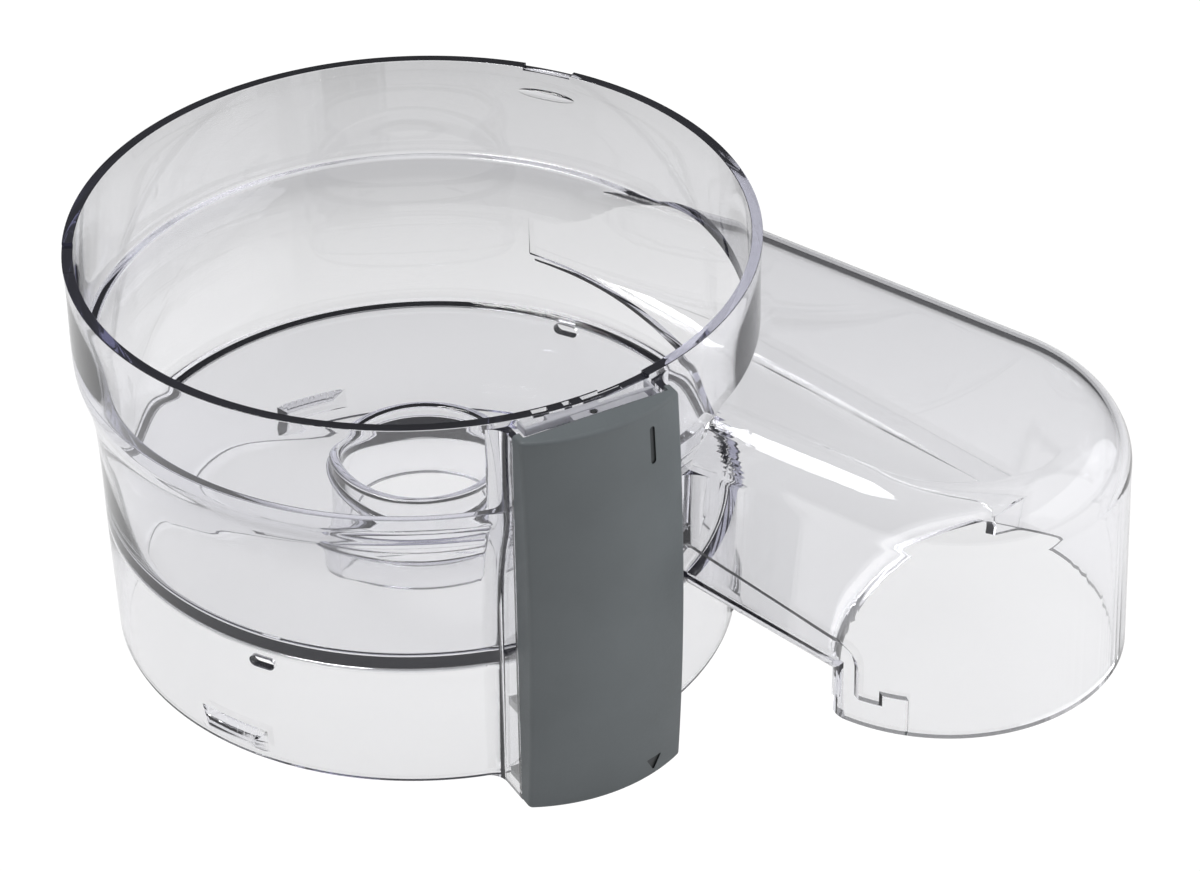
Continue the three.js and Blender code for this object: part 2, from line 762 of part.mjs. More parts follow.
// A screw boss inside the cover, joined to its front wall.
function coverBoss(offset) {
  const low = capLift + capThickness + fit;
  const post = disc(bossRadius, low, low + bossHeight).translate(bossReach, offset, 0);
  const web = block(
    [bossReach, offset - bossRadius / 2, low],
    [coverFront + coverBulge, offset + bossRadius / 2, low + bossHeight],
  );
  const hole = disc(screwRadius + fit, low - overrun, low + screwLength).translate(bossReach, offset, 0);
  return solid(post).add(solid(web)).subtract(solid(hole));
}

// A plate across the inside of the handle, clear of the bowl's wall, the side walls and the cover.
function crossPlate(low, high, front) {
  const half = coverHalf - coverWall - tongueWall - 2 * fit;
  const plate = solid(block([waistRadius - wall, -half, low], [front, half, high]));
  const inside = coverSpace(coverWall + fit, low - overrun, high + overrun, waistRadius - wall - overrun, 0);
  const bowl = geometryOf(envelope(fit)).rotateZ(-degrees(handleAzimuth)).translate(0, -handleShift, 0);
  return plate.intersect(inside).subtract(solid(bowl));
}

function topPlate() {
  const top = bowlHeight - coverDrop;
  const low = top - plateThickness;
  let plate = crossPlate(low, top, plateReach);
  const sliderInner = rodReach - sliderHalf;
  const legFace = sliderInner - fit;
  const railTop = sliderFoot - fit;
  const railFoot = [legFace - railThickness, railInner, railTop - railLip];
  const leg = block(railFoot, [legFace, railOuter, low + root]);
  const lip = block(railFoot, [rodReach - wedgeHalf - fit, railOuter, railTop]);
  plate = plate.add(solid(leg)).add(solid(lip));
  for (const [left, right] of [slotLeft, slotRight]) {
    const slot = block([waistRadius, left, low - overrun], [slotReach, right, top + overrun]);
    plate = plate.subtract(solid(slot));
  }
  return plate;
}

// A guide plate with a round hole for the rod, or for the rod's foot.
function guidePlate(low, high, hole) {
  return crossPlate(low, high, coverFront + coverBulge).subtract(
    solid(disc(hole, low - overrun, high + overrun).translate(rodReach, 0, 0)),
  );
}

function baseCap() {
  const low = capLift;
  const high = capLift + capThickness;
  const hole = footRadius + 2 * fit;
  let cap = guidePlate(low, high, hole);
  const collar = solid(disc(hole + capCollar, low, high + capCollar)).subtract(
    solid(disc(hole, low - overrun, high + capCollar + overrun)),
  );
  cap = cap.add(collar.translate([rodReach, 0, 0]));
  for (const side of [1, -1]) {
    const place = [bossReach, side * bossOffset, 0];
    const shank = solid(disc(screwRadius + fit, low - overrun, high + overrun));
    const sink = solid(disc(screwHead + fit, low - overrun, low + screwHeadHeight + fit));
    cap = cap.subtract(shank.add(sink).translate(place));
  }
  return cap;
}

// The wedge's lower face, at an offset along the rim.
function wedgeFace(offset) {
  return sliderFoot - wedgeRoot - drive * (offset + wedgeMargin);
}

function slider() {
  const top = sliderFoot + sliderHeight;
  const round = arc(-sliderLeft + sliderHalf, 0, sliderHalf, 90, 270).map(([y, x]) => [rodReach - x, y]);
  const plan = [...round, [rodReach + sliderHalf, sliderRight], [rodReach - sliderHalf, sliderRight]];
  const body = solid(upright(plan, sliderFoot, top));
  const rib = solid(block(
    [rodReach - sliderRibHalf, -sliderLeft + sliderHalf, top - root],
    [rodReach + sliderRibHalf, sliderRight, top + sliderRibHeight],
  ));
  const left = -wedgeMargin;
  const right = travel + wedgeMargin;
  const wedge = solid(along(
    [
      [left, wedgeFace(left)],
      [right, wedgeFace(right)],
      [right, sliderFoot + root],
      [left, sliderFoot + root],
    ],
    rodReach - wedgeHalf,
    rodReach + wedgeHalf,
  ));
  const hole = solid(block(
    [rodReach - squareHole / 2, squareOffset - squareHole / 2, sliderFoot - overrun],
    [rodReach + squareHole / 2, squareOffset + squareHole / 2, top + sliderRibHeight + overrun],
  ));
  const ribTop = top + sliderRibHeight;
  const pegHole = solid(disc(pegRadius + fit, ribTop - pegHeight - fit, ribTop + overrun));
  return body.add(rib).add(wedge).subtract(hole).subtract(pegHole.translate([rodReach, 0, 0]));
}

const springFoot = lowerGuideFoot + guideThickness + fit;
const washerFoot = springFoot + springHeight + fit;
const clipFoot = washerFoot + washerThickness + fit;

// The push rod: a bevelled head under the wedge, a groove for the clip and a thin lower end for its foot.
function rod() {
  const footTop = footLift + footHeight;
  const neck = rodRadius - grooveDepth;
  const tip = footRadius - footWall - fit;
  const high = wedgeFace(-wedgeMargin);
  const profile = [
    [0, footLift + footWall + fit],
    [tip, footLift + footWall + fit],
    [tip, footTop + fit],
    [rodRadius, footTop + fit],
    [rodRadius, clipFoot - fit / 2],
    [neck, clipFoot - fit / 2],
    [neck, clipFoot + clipThickness + fit / 2],
    [rodRadius, clipFoot + clipThickness + fit / 2],
    [rodRadius, high],
    [0, high],
  ];
  const shaft = solid(turned(profile, rodSides));
  const gap = fit / Math.cos(Math.atan(drive));
  const reach = rodRadius + overrun;
  const bevel = along(
    [
      [-reach, wedgeFace(-reach) - gap],
      [reach, wedgeFace(reach) - gap],
      [reach, high + overrun],
      [-reach, high + overrun],
    ],
    -reach,
    reach,
  );
  return shaft.subtract(solid(bevel));
}

function rodFoot() {
  const bore = footRadius - footWall;
  const top = footLift + footHeight;
  const profile = [
    [0, footLift],
    [footRadius - footWall / 2, footLift],
    [footRadius, footLift + footWall / 2],
    [footRadius, top],
    [bore, top],
    [bore, footLift + footWall],
    [0, footLift + footWall],
  ];
  return solid(turned(profile, rodSides));
}

function washer() {
  const hole = rodRadius + fit;
  const top = washerFoot + washerThickness;
  const profile = [[hole, washerFoot], [washerRadius, washerFoot], [washerRadius, top], [hole, top]];
  return solid(turned(profile, rodSides));
}

function clip() {
  const hole = rodRadius - grooveDepth + fit;
  const top = clipFoot + clipThickness;
  const profile = [[hole, clipFoot], [clipRadius, clipFoot], [clipRadius, top], [hole, top]];
  const ring = solid(turned(profile, rodSides));
  const mouth = block(
    [0, -clipMouth / 2, clipFoot - overrun],
    [clipRadius + overrun, clipMouth / 2, top + overrun],
  );
  return ring.subtract(solid(mouth));
}

// One unbroken coil of round wire, from its foot up.
function spring() {
  const steps = springCurls * curlSteps;
  const climb = springHeight - springWire;
  const centreAt = (step) => {
    const angle = (2 * Math.PI * step) / curlSteps;
    const height = springFoot + springWire / 2 + (climb * step) / steps;
    return new THREE.Vector3(springRadius * Math.cos(angle), springRadius * Math.sin(angle), height);
  };
  const positions = [];
  const index = [];
  for (let step = 0; step <= steps; step++) {
    const angle = (2 * Math.PI * step) / curlSteps;
    const centre = centreAt(step);
    const out = new THREE.Vector3(Math.cos(angle), Math.sin(angle), 0);
    for (let side = 0; side < wireSides; side++) {
      const turn = (2 * Math.PI * side) / wireSides;
      const point = centre.clone().addScaledVector(out, (springWire / 2) * Math.cos(turn));
      point.z += (springWire / 2) * Math.sin(turn);
      positions.push(point.x, point.y, point.z);
    }
  }
  for (let step = 0; step < steps; step++) {
    for (let side = 0; side < wireSides; side++) {
      const a = step * wireSides + side;
      const b = step * wireSides + ((side + 1) % wireSides);
      index.push(a, a + wireSides, b + wireSides, a, b + wireSides, b);
    }
  }
  for (let side = 1; side < wireSides - 1; side++) {
    const last = steps * wireSides;
    index.push(0, side, side + 1);
    index.push(last, last + side + 1, last + side);
  }
  let least = Infinity;
  for (let i = 0; i <= steps; i++) {
    for (let j = i + curlSteps / 2; j <= steps; j++) {
      least = Math.min(least, centreAt(i).distanceTo(centreAt(j)) - springWire);
    }
  }
  console.log("rod_spring: least gap between turns " + least.toFixed(2) + " mm");
  const geometry = new THREE.BufferGeometry();
  geometry.setAttribute("position", new THREE.Float32BufferAttribute(positions, 3));
  geometry.setIndex(index);
  return geometry;
}

// A cap screw, head down: slotted head, plain shank.
function screw() {
  const headFoot = capLift + fit / 2;
  const headTop = headFoot + screwHeadHeight;
  const profile = [
    [0, headFoot],
    [screwHead, headFoot],
    [screwHead, headTop],
    [screwRadius, headTop],
    [screwRadius, headTop + screwLength],
    [0, headTop + screwLength],
  ];
  const body = solid(turned(profile, pinSides));
  const slot = block(
    [-screwHead - overrun, -screwSlot / 2, headFoot - overrun],
    [screwHead + overrun, screwSlot / 2, headFoot + screwHeadHeight / 2],
  );
  return body.subtract(solid(slot));
}

function piece(name, shape, look) {
  const geometry = shape.isBufferGeometry ? shape : geometryOf(shape);
  const mesh = new THREE.Mesh(geometry, new THREE.MeshStandardMaterial(look));
  mesh.name = name;
  return mesh;
}

const foodProcessorBowl = new THREE.Group();
foodProcessorBowl.add(piece("bowl_body", bowlBody(), clearPlastic));
foodProcessorBowl.add(piece("chute_hood", chuteHood(), clearPlastic));
foodProcessorBowl.add(piece("chute_ramp", chuteRamp(), clearPlastic));

const handle = new THREE.Group();
handle.rotation.z = degrees(handleAzimuth);
const handleParts = new THREE.Group();
handleParts.position.y = handleShift;
handle.add(handleParts);
handleParts.add(piece("handle_cover", handleCover(), greyPlastic));
handleParts.add(piece("handle_top_plate", topPlate(), clearPlastic));
handleParts.add(piece("handle_base_cap", baseCap(), greyPlastic));
for (const [name, low] of [["rod_guide_upper", upperGuideFoot], ["rod_guide_lower", lowerGuideFoot]]) {
  handleParts.add(piece(name, guidePlate(low, low + guideThickness, rodRadius + fit), whitePlastic));
}
handleParts.add(piece("interlock_slider", slider(), clearPlastic));

const sliderPeg = piece("slider_peg", solid(disc(pegRadius, 0, pegHeight, pinSides)), darkPlastic);
sliderPeg.position.set(rodReach, 0, sliderFoot + sliderHeight + sliderRibHeight - pegHeight);
handleParts.add(sliderPeg);

const rodLine = new THREE.Group();
rodLine.position.x = rodReach;
rodLine.add(piece("interlock_rod", rod(), whitePlastic));
rodLine.add(piece("rod_foot", rodFoot(), darkPlastic));
rodLine.add(piece("rod_spring", spring(), springSteel));
rodLine.add(piece("spring_washer", washer(), springSteel));
rodLine.add(piece("rod_clip", clip(), springSteel));
handleParts.add(rodLine);

for (const [name, side] of [["cap_screw_left", -1], ["cap_screw_right", 1]]) {
  const capScrew = piece(name, screw(), springSteel);
  capScrew.position.set(bossReach, side * bossOffset, 0);
  handleParts.add(capScrew);
}
foodProcessorBowl.add(handle);

// The frame's origin is the middle of the whole part's footprint.
foodProcessorBowl.updateMatrixWorld(true);
const reach = new THREE.Box3().setFromObject(foodProcessorBowl, true);
const middle = reach.getCenter(new THREE.Vector3());
foodProcessorBowl.position.set(-middle.x, -middle.y, -reach.min.z);

export default foodProcessorBowl;
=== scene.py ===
# %% [markdown]
# # A clear work bowl with a side chute and a grey handle
#
# The object is the work bowl of a food processor. Its body is clear polycarbonate, about 3 mm thick, with an
# opaque cover on the handle. The frame holds every piece at its real size in metres: the bowl's axis is
# vertical, the chute points along +X, and the skirt stands on Z = 0. The sizes below are millimetres from the
# bowl's axis, as on a drawing, and one function turns them into the frame's metres.

# %% Load the frame
import json
import math

import bmesh
import bpy
import numpy as np
from mathutils import Matrix, Vector


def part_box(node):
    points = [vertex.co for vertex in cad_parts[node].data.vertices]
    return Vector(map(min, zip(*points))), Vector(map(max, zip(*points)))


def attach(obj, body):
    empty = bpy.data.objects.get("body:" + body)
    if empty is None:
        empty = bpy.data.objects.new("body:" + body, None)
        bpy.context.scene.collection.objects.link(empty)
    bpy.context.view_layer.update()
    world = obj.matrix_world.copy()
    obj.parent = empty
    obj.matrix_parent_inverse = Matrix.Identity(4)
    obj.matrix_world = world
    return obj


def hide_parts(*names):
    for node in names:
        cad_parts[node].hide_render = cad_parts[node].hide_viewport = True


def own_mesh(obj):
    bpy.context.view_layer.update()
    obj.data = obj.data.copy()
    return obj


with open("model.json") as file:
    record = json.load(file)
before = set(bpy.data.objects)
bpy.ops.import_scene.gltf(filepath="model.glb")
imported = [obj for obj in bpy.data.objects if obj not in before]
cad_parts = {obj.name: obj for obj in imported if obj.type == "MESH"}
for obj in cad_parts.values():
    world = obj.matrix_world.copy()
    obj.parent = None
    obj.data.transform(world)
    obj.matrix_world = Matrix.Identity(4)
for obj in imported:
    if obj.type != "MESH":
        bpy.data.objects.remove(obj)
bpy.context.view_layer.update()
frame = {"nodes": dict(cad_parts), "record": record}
nodes = frame["nodes"]

# %% Millimetres on the drawing, metres in the frame
MM = 0.001
RIM_RADIUS = 100.2
BOWL_HEIGHT = 127
bowl_low, bowl_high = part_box("bowl_body")
AXIS = np.array([bowl_low[0] + RIM_RADIUS * MM, (bowl_low[1] + bowl_high[1]) / 2, 0])

# %% [markdown]
# ## Where the camera stands
#
# The camera's place comes from the ellipses of the rim, the floor and the skirt in the photograph. It stands
# about 1.2 m from the rim's centre, looks down by 32 degrees, and is a little turned and rolled. The lens is
# long, so the ellipses stay almost regular.

# %% Camera
CAMERA_DISTANCE = 1217.911 * MM
CAMERA_ELEVATION = 0.561
CAMERA_AZIMUTH = math.radians(37.9)
CAMERA_YAW, CAMERA_PITCH, CAMERA_ROLL = 0.042, -0.05, -0.041
FOCAL_PIXELS = 4248.906
IMAGE_WIDTH = 1200


def turn(a, b, angle):
    """Turns two unit vectors that are square to each other: a goes towards b, and b away from a."""
    c, s = math.cos(angle), math.sin(angle)
    return a * c + b * s, b * c - a * s


def add_object(name, data):
    """Puts a mesh, a camera or a lamp into the scene."""
    made = bpy.data.objects.new(name, data)
    bpy.context.collection.objects.link(made)
    return made


def add_camera():
    """Aims at the rim's centre from the photograph's distance, then yaws, pitches and rolls."""
    ce, se = math.cos(CAMERA_ELEVATION), math.sin(CAMERA_ELEVATION)
    forward, right, up = Vector((0, ce, -se)), Vector((1, 0, 0)), Vector((0, se, ce))
    place = -forward * CAMERA_DISTANCE
    forward, right = turn(forward, right, CAMERA_YAW)
    forward, up = turn(forward, up, CAMERA_PITCH)
    right, up = turn(right, up, CAMERA_ROLL)
    spin = Matrix.Rotation(CAMERA_AZIMUTH, 3, "Z")
    right, up, forward, place = (spin @ v for v in (right, up, forward, place))
    data = bpy.data.cameras.new("camera")
    data.sensor_width = 36
    data.lens = FOCAL_PIXELS / IMAGE_WIDTH * data.sensor_width
    data.clip_start, data.clip_end = 0.05, 20
    made = add_object("camera", data)
    facing = Matrix((right, up, -forward)).transposed()
    centre = Vector(AXIS) + Vector((0, 0, BOWL_HEIGHT * MM))
    made.matrix_world = Matrix.Translation(centre + place) @ facing.to_4x4()
    bpy.context.scene.camera = made
    return made


camera = add_camera()
print("camera at", [round(v, 4) for v in camera.matrix_world.translation], "lens", round(camera.data.lens, 2))

# %% [markdown]
# ## Shader maths as Python
#
# A node tree is easier to read as an expression. The small class below wraps a socket, and its operators add
# Math nodes. One method makes any other node.


# %% A socket that can be calculated with
class Socket:
    """A value in a node tree. Sums and products with it add Math nodes."""

    def __init__(self, tree, output=None):
        self.tree, self.output = tree, output

    def node(self, kind, inputs=None, settings=None, output=0):
        """Adds a node with its sockets' values or links by name, and its settings or a ramp's stops."""
        made = self.tree.nodes.new("ShaderNode" + kind)
        for key, value in (settings or {}).items():
            if key == "stops":
                ramp = made.color_ramp
                while len(ramp.elements) < len(value):
                    ramp.elements.new(0.5)
                for element, (place, colour) in zip(ramp.elements, value):
                    element.position = place
                    element.color = colour
            else:
                setattr(made, key, value)
        for key, value in (inputs or {}).items():
            socket = made.inputs[key]
            if isinstance(value, Socket):
                self.tree.links.new(value.output, socket)
            else:
                socket.default_value = value
        return Socket(self.tree, made.outputs[output])

    def maths(self, operation, *values):
        return self.node("Math", dict(enumerate(values)), {"operation": operation})

    def __add__(self, other):
        return self.maths("ADD", self, other)

    __radd__ = __add__

    def __mul__(self, other):
        return self.maths("MULTIPLY", self, other)

    __rmul__ = __mul__

    def __sub__(self, other):
        return self.maths("SUBTRACT", self, other)

    def __rsub__(self, other):
        return self.maths("SUBTRACT", other, self)

    def capped(self):
        return self.node("Clamp", {"Value": self})

    def into(self, node, name):
        self.tree.links.new(self.output, node.inputs[name])


def empty_tree(owner, kind="ShaderNodeOutputMaterial"):
    """Empties a material's or a world's tree, and returns its output node and a root for expressions."""
    owner.use_nodes = True
    owner.node_tree.nodes.clear()
    return owner.node_tree.nodes.new(kind), Socket(owner.node_tree)


# %% [markdown]
# ## The plastics
#
# The bowl is clear polycarbonate. It could be faked with alpha, but the photograph's dark blue-violet rims
# are light that entered the plastic and travelled along it, so the real thing is cheaper: a closed solid with
# a refracting surface, and an absorption that only shows over a long path. A ray can be trapped inside for
# longer than the renderer follows it and would come out black, so the plastic also gives off a faint violet
# light.


# %% Clear polycarbonate
VEIL = 0.5


def new_look(name):
    """A new material, its output node, and the piece's own coordinates to build on."""
    material = bpy.data.materials.new(name)
    output, root = empty_tree(material)
    return material, output, root.node("TexCoord", output="Object")


def noise(place, scale, detail):
    return place.node("TexNoise", {"Vector": place, "Scale": scale, "Detail": detail})


def clear_plastic(name, tint, density):
    """Refracting plastic. A path of d metres leaves exp(-(1 - tint) * density * d) of the light."""
    material, output, place = new_look(name)
    limits = {"From Min": 0.52, "From Max": 0.75, "To Min": 0.012, "To Max": 0.05}
    haze = place.node("MapRange", {"Value": noise(place, 45.0, 3.0), **limits})
    surface = {"Base Color": (1, 1, 1, 1), "Roughness": haze, "IOR": 1.58, "Transmission Weight": 1.0}
    place.node("BsdfPrincipled", surface).into(output, "Surface")
    lost = place.node("VolumeAbsorption", {"Color": (*tint, 1), "Density": density})
    kept = place.node("Emission", {"Color": (0.80, 0.80, 1.0, 1), "Strength": VEIL})
    place.node("AddShader", {0: lost, 1: kept}).into(output, "Volume")
    return material


clear = clear_plastic("clear_polycarbonate", (0.80, 0.80, 0.86), 65)
print(clear.name, len(clear.node_tree.nodes), "nodes")


# %% [markdown]
# The handle's cover is a grey moulding with a fine spark-eroded grain. The grain is a small bump, and a soft
# noise keeps the colour from being one flat value. An attribute paints shade into the cover's two sunk marks.
# The plate and the slider at the handle's top are a milky plastic that scatters most of its light.


# %% Opaque mouldings, steel and milky plastic
def moulded(name, colour, rough, grain=0.0, metal=0.0):
    """A moulded or drawn finish: a faint cloud in the colour, a fine grain in the bump and the roughness."""
    material, output, place = new_look(name)
    cloud, fine = noise(place, 35.0, 4.0), noise(place, 900.0, 2.0)
    painted_shade, deep, light = ([min(1.0, c * share) for c in colour] for share in (0.3, 0.93, 1.07))
    stops = [(0.05, (*painted_shade, 1)), (0.3, (*deep, 1)), (0.7, (*light, 1))]
    # Painted shade: on the sunk marks the attribute pushes the ramp to its darkest stop, 0.3 of the colour.
    sunk = place.node("Attribute", None, {"attribute_name": "sunk"}, "Fac")
    paint = place.node("ValToRGB", {"Fac": cloud - sunk}, {"stops": stops})
    bump = place.node("Bump", {"Height": fine, "Strength": grain, "Distance": 0.0001})
    roughness = rough + 0.12 * (fine - 0.5)
    surface = {"Base Color": paint, "Roughness": roughness, "Metallic": metal, "Normal": bump}
    place.node("BsdfPrincipled", surface).into(output, "Surface")
    return material


def frosted(name, colour, rough):
    """Milky plastic that lets some light through and scatters it."""
    material, output, place = new_look(name)
    cloud = noise(place, 220.0, 3.0)
    stops = [(0.3, tuple(c * 0.9 for c in colour) + (1,)), (0.7, (*colour, 1))]
    paint = place.node("ValToRGB", {"Fac": cloud}, {"stops": stops})
    surface = {"Base Color": paint, "Roughness": rough + 0.2 * (cloud - 0.5), "IOR": 1.5}
    place.node("BsdfPrincipled", {**surface, "Transmission Weight": 0.45}).into(output, "Surface")
    return material


LOOKS = {
    "clear_plastic": clear,
    "grey_plastic": moulded("grey_moulding", (0.140, 0.157, 0.165), 0.48, grain=0.35),
    "white_plastic": moulded("white_acetal", (0.72, 0.73, 0.71), 0.4, grain=0.1),
    "spring_steel": moulded("bright_steel", (0.62, 0.63, 0.65), 0.28, grain=0.05, metal=1.0),
    "dark_plastic": moulded("dark_rubber", (0.03, 0.03, 0.033), 0.6, grain=0.3),
}
milky = frosted("milky_fittings", (0.80, 0.80, 0.86), 0.32)
SPECIAL = {"handle_top_plate": milky, "interlock_slider": milky}
SLOT_OF = {part["node"]: part["material_slot"] for part in frame["record"]["subparts"]}
BODY_OF = {node: body for body, members in frame["record"]["behaviour"]["bodies"].items() for node in members}
for name, node in nodes.items():
    node.material_slots[0].material = SPECIAL.get(name, LOOKS[SLOT_OF[name]])
print(len(LOOKS) + 1, "materials on", len(nodes), "nodes")

# %% [markdown]
# ## Surfaces from arrays
#
# Most pieces are a grid of points: a profile turned about the axis, or rings stacked up. Numpy works the
# whole grid out at once. A closed outline is written as a few corners, each with its own rounding.

# %% Working lengths
# OVERRUN is how far a cutting solid stands past what it cuts, and ROOT how deep an added one sits in the
# wall. TINY keeps a turned profile off its axis, and a round end off a full half circle.
OVERRUN, ROOT, TINY = 1, 1, 0.01


# %% Outlines
def rounded(corners, steps=6):
    """A closed outline with round corners: rows of x, y and radius. Each corner becomes the arc that touches
    both of its sides: its centre lies on the corner's bisector, radius / sin(half the corner) away."""
    corners = np.asarray(corners, float)
    point, radius = corners[:, :2], corners[:, 2:]
    back = np.roll(point, 1, 0) - point
    ahead = np.roll(point, -1, 0) - point
    back /= np.linalg.norm(back, axis=1, keepdims=True)
    ahead /= np.linalg.norm(ahead, axis=1, keepdims=True)
    half = np.arccos(np.clip((back * ahead).sum(1, keepdims=True), -1, 1)) / 2
    bisector = back + ahead
    length = np.linalg.norm(bisector, axis=1, keepdims=True)
    bisector = np.where(length > 1e-9, bisector / np.maximum(length, 1e-9), 0)
    centre = point + bisector * radius / np.sin(half)
    reach = radius / np.tan(half)
    first = np.arctan2(*(point + back * reach - centre).T[::-1])
    last = np.arctan2(*(point + ahead * reach - centre).T[::-1])
    sweep = (last - first + np.pi) % (2 * np.pi) - np.pi
    angle = first[:, None] + sweep[:, None] * np.linspace(0, 1, steps + 1)
    arcs = centre[:, None] + radius[:, :, None] * np.stack([np.cos(angle), np.sin(angle)], -1)
    outline = arcs.reshape(-1, 2)
    step = np.linalg.norm(outline - np.roll(outline, 1, 0), axis=1)
    return outline[step > 1e-4]


def through(points, steps=6):
    """A smooth curve through points: between two of them it is the cubic that takes, at each end, the slope
    of the chord between that end's neighbours."""
    points = np.asarray(points, float)
    slope = np.gradient(points, axis=0)
    t = np.linspace(0, 1, steps, endpoint=False)[:, None, None]
    a, b, from_a, to_b = points[:-1], points[1:], slope[:-1], slope[1:]
    curve = (2 * t**3 - 3 * t**2 + 1) * a + (t**3 - 2 * t**2 + t) * from_a
    curve += (3 * t**2 - 2 * t**3) * b + (t**3 - t**2) * to_b
    return np.vstack([curve.transpose(1, 0, 2).reshape(-1, 2), points[-1:]])


def arc(x, y, radius, start, end, steps):
    """Points of an arc from one angle to another, in degrees."""
    angle = np.radians(np.linspace(start, end, steps + 1))
    return np.stack([x + radius * np.cos(angle), y + radius * np.sin(angle)], -1)


def oblong(left, low, right, high):
    """A rectangle's four corners, anticlockwise."""
    return [(left, low), (right, low), (right, high), (left, high)]


def soft(points, radius=0.0):
    """Points with one rounding radius each, ready for rounded()."""
    points = np.asarray(points, float).reshape(-1, 2)
    return np.column_stack([points, np.full(len(points), radius)])


def area(outline):
    """The outline's signed area: positive if it runs anticlockwise."""
    x, y = np.asarray(outline).T
    return ((x * np.roll(y, -1) - y * np.roll(x, -1)).sum()) / 2


# %% Meshes
def add_mesh(name, points, faces):
    """A mesh object at the origin from points in millimetres from the bowl's axis."""
    mesh = bpy.data.meshes.new(name)
    mesh.from_pydata((np.asarray(points) * MM + AXIS).tolist(), [], faces)
    return add_object(name, mesh)


def strips(rows, columns, closed_rows):
    """Quads between neighbouring rows of a grid whose columns close on themselves."""
    index = np.arange(rows * columns).reshape(rows, columns)
    if closed_rows:
        index = np.vstack([index, index[:1]])
    low, high = index[:-1], index[1:]
    quads = np.stack([low, np.roll(low, -1, 1), np.roll(high, -1, 1), high], -1)
    return quads.reshape(-1, 4).tolist()


def turned(name, profile, sides=256, centre=(0, 0)):
    """A closed profile of radius and height turned about an upright axis: x = r cos a, y = r sin a."""
    profile = np.asarray(profile, float)
    if area(profile) < 0:
        profile = profile[::-1]
    angle = np.linspace(0, 2 * np.pi, sides, endpoint=False)[:, None]
    r, z = profile.T
    grid = np.stack([r * np.cos(angle) + centre[0], r * np.sin(angle) + centre[1], z + 0 * angle], -1)
    faces = strips(sides, len(profile), True)
    return add_mesh(name, grid.reshape(-1, 3), [face[::-1] for face in faces])


def stacked(name, rings):
    """Rings of equally many points, lowest first and anticlockwise from above, joined and capped."""
    rings = np.asarray(rings, float)
    rows, columns = rings.shape[:2]
    faces = strips(rows, columns, False)
    faces.append(list(range(columns))[::-1])
    faces.append(list(range((rows - 1) * columns, rows * columns)))
    return add_mesh(name, rings.reshape(-1, 3), faces)


def level(plan, height):
    """A plan outline as a ring at one height."""
    return np.column_stack([plan, np.full(len(plan), height)])


def raised(outline, low, high):
    """The two rings of a plan outline raised from one height to another."""
    outline = np.asarray(outline, float)
    if area(outline) < 0:
        outline = outline[::-1]
    return np.stack([level(outline, height) for height in (low, high)])


def along_x(outline, low, high):
    """The two rings of an outline of y and z, from one x to another."""
    return raised(outline, low, high)[..., [2, 0, 1]]


def along_y(outline, low, high):
    """The two rings of an outline of x and z, from one y to another."""
    return raised(outline[:, ::-1], low, high)[..., [1, 2, 0]]


# %% Joining and cutting
def combine(target, others, operation):
    """Joins, cuts or intersects one solid with others, writes the result into its mesh and drops them."""
    for other in others:
        modifier = target.modifiers.new(operation, "BOOLEAN")
        modifier.operation = operation
        modifier.solver = "MANIFOLD"
        modifier.object = other
        graph = bpy.context.evaluated_depsgraph_get()
        mesh = bpy.data.meshes.new_from_object(target.evaluated_get(graph))
        target.modifiers.clear()
        old = target.data
        target.data = mesh
        bpy.data.meshes.remove(old)
        if len(mesh.polygons) == 0:
            raise ValueError(f"{target.name} came out empty after {operation} with {other.name}")
    for other in set(others):
        bpy.data.objects.remove(other)
    return target


SHARP = math.radians(28)


def finish_piece(piece, *names):
    """Shades a piece smoothly up to an angle, gives it its nodes' material and lets it stand for them."""
    node = names[0]
    piece.data.name = piece.name
    piece.data.shade_smooth()
    piece.data.set_sharp_from_angle(angle=SHARP)
    weighted = piece.modifiers.new("weighted", "WEIGHTED_NORMAL")
    weighted.keep_sharp = True
    piece.data.materials.clear()
    piece.data.materials.append(SPECIAL.get(node, LOOKS[SLOT_OF[node]]))
    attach(piece, BODY_OF[node])
    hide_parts(*names)
    print(piece.name, len(piece.data.vertices), "points", len(piece.data.polygons), "faces")
    return piece


# %% [markdown]
# ## The bowl
#
# The bowl is one moulding: a band at the top, a ledge where it steps in, a wall, a floor, a centre tube and a
# skirt. All of that is one closed profile of radius and height, turned about the axis.

# %% Bowl sizes
RIM_WALL = 3.2
BAND_RADIUS = 99.8
BAND_FOOT = 96
LEDGE_HEIGHT = 95.1
LEDGE_RADIUS = 96
WAIST_RADIUS = 95.2
WAIST_HEIGHT = 72
BASE_RADIUS = 93.2
WALL = 3.1
FLOOR_TOP = 43.4
FLOOR_THICKNESS = 3.3
FLOOR_FILLET = 3.5
SKIRT_WALL = 2.7
TUBE_RADIUS = 28
TUBE_WALL = 3.6
TUBE_LIP = 5.5
TUBE_DROP = 20
SHOULDER_SHARES = [(0, 0), (0.33, 0.24), (0.58, 0.5), (0.79, 0.85), (1, 1)]
TAPER_SHARES = [(0, 0), (0.24, 0.25), (0.51, 0.5), (0.79, 0.65)]
EDGE, RIM_EDGE = 0.7, 0.25
LEDGE_EDGE, LEDGE_FILLET, WAIST_BEND = 0.8, 0.9, 30
TUBE_FILLET, TUBE_EDGE, BORE_EDGE, TUBE_FOOT_EDGE = 1.5, 1.4, 1.6, 0.6
UNDER_FILLET, SKIRT_FILLET = 1.0, 2.0


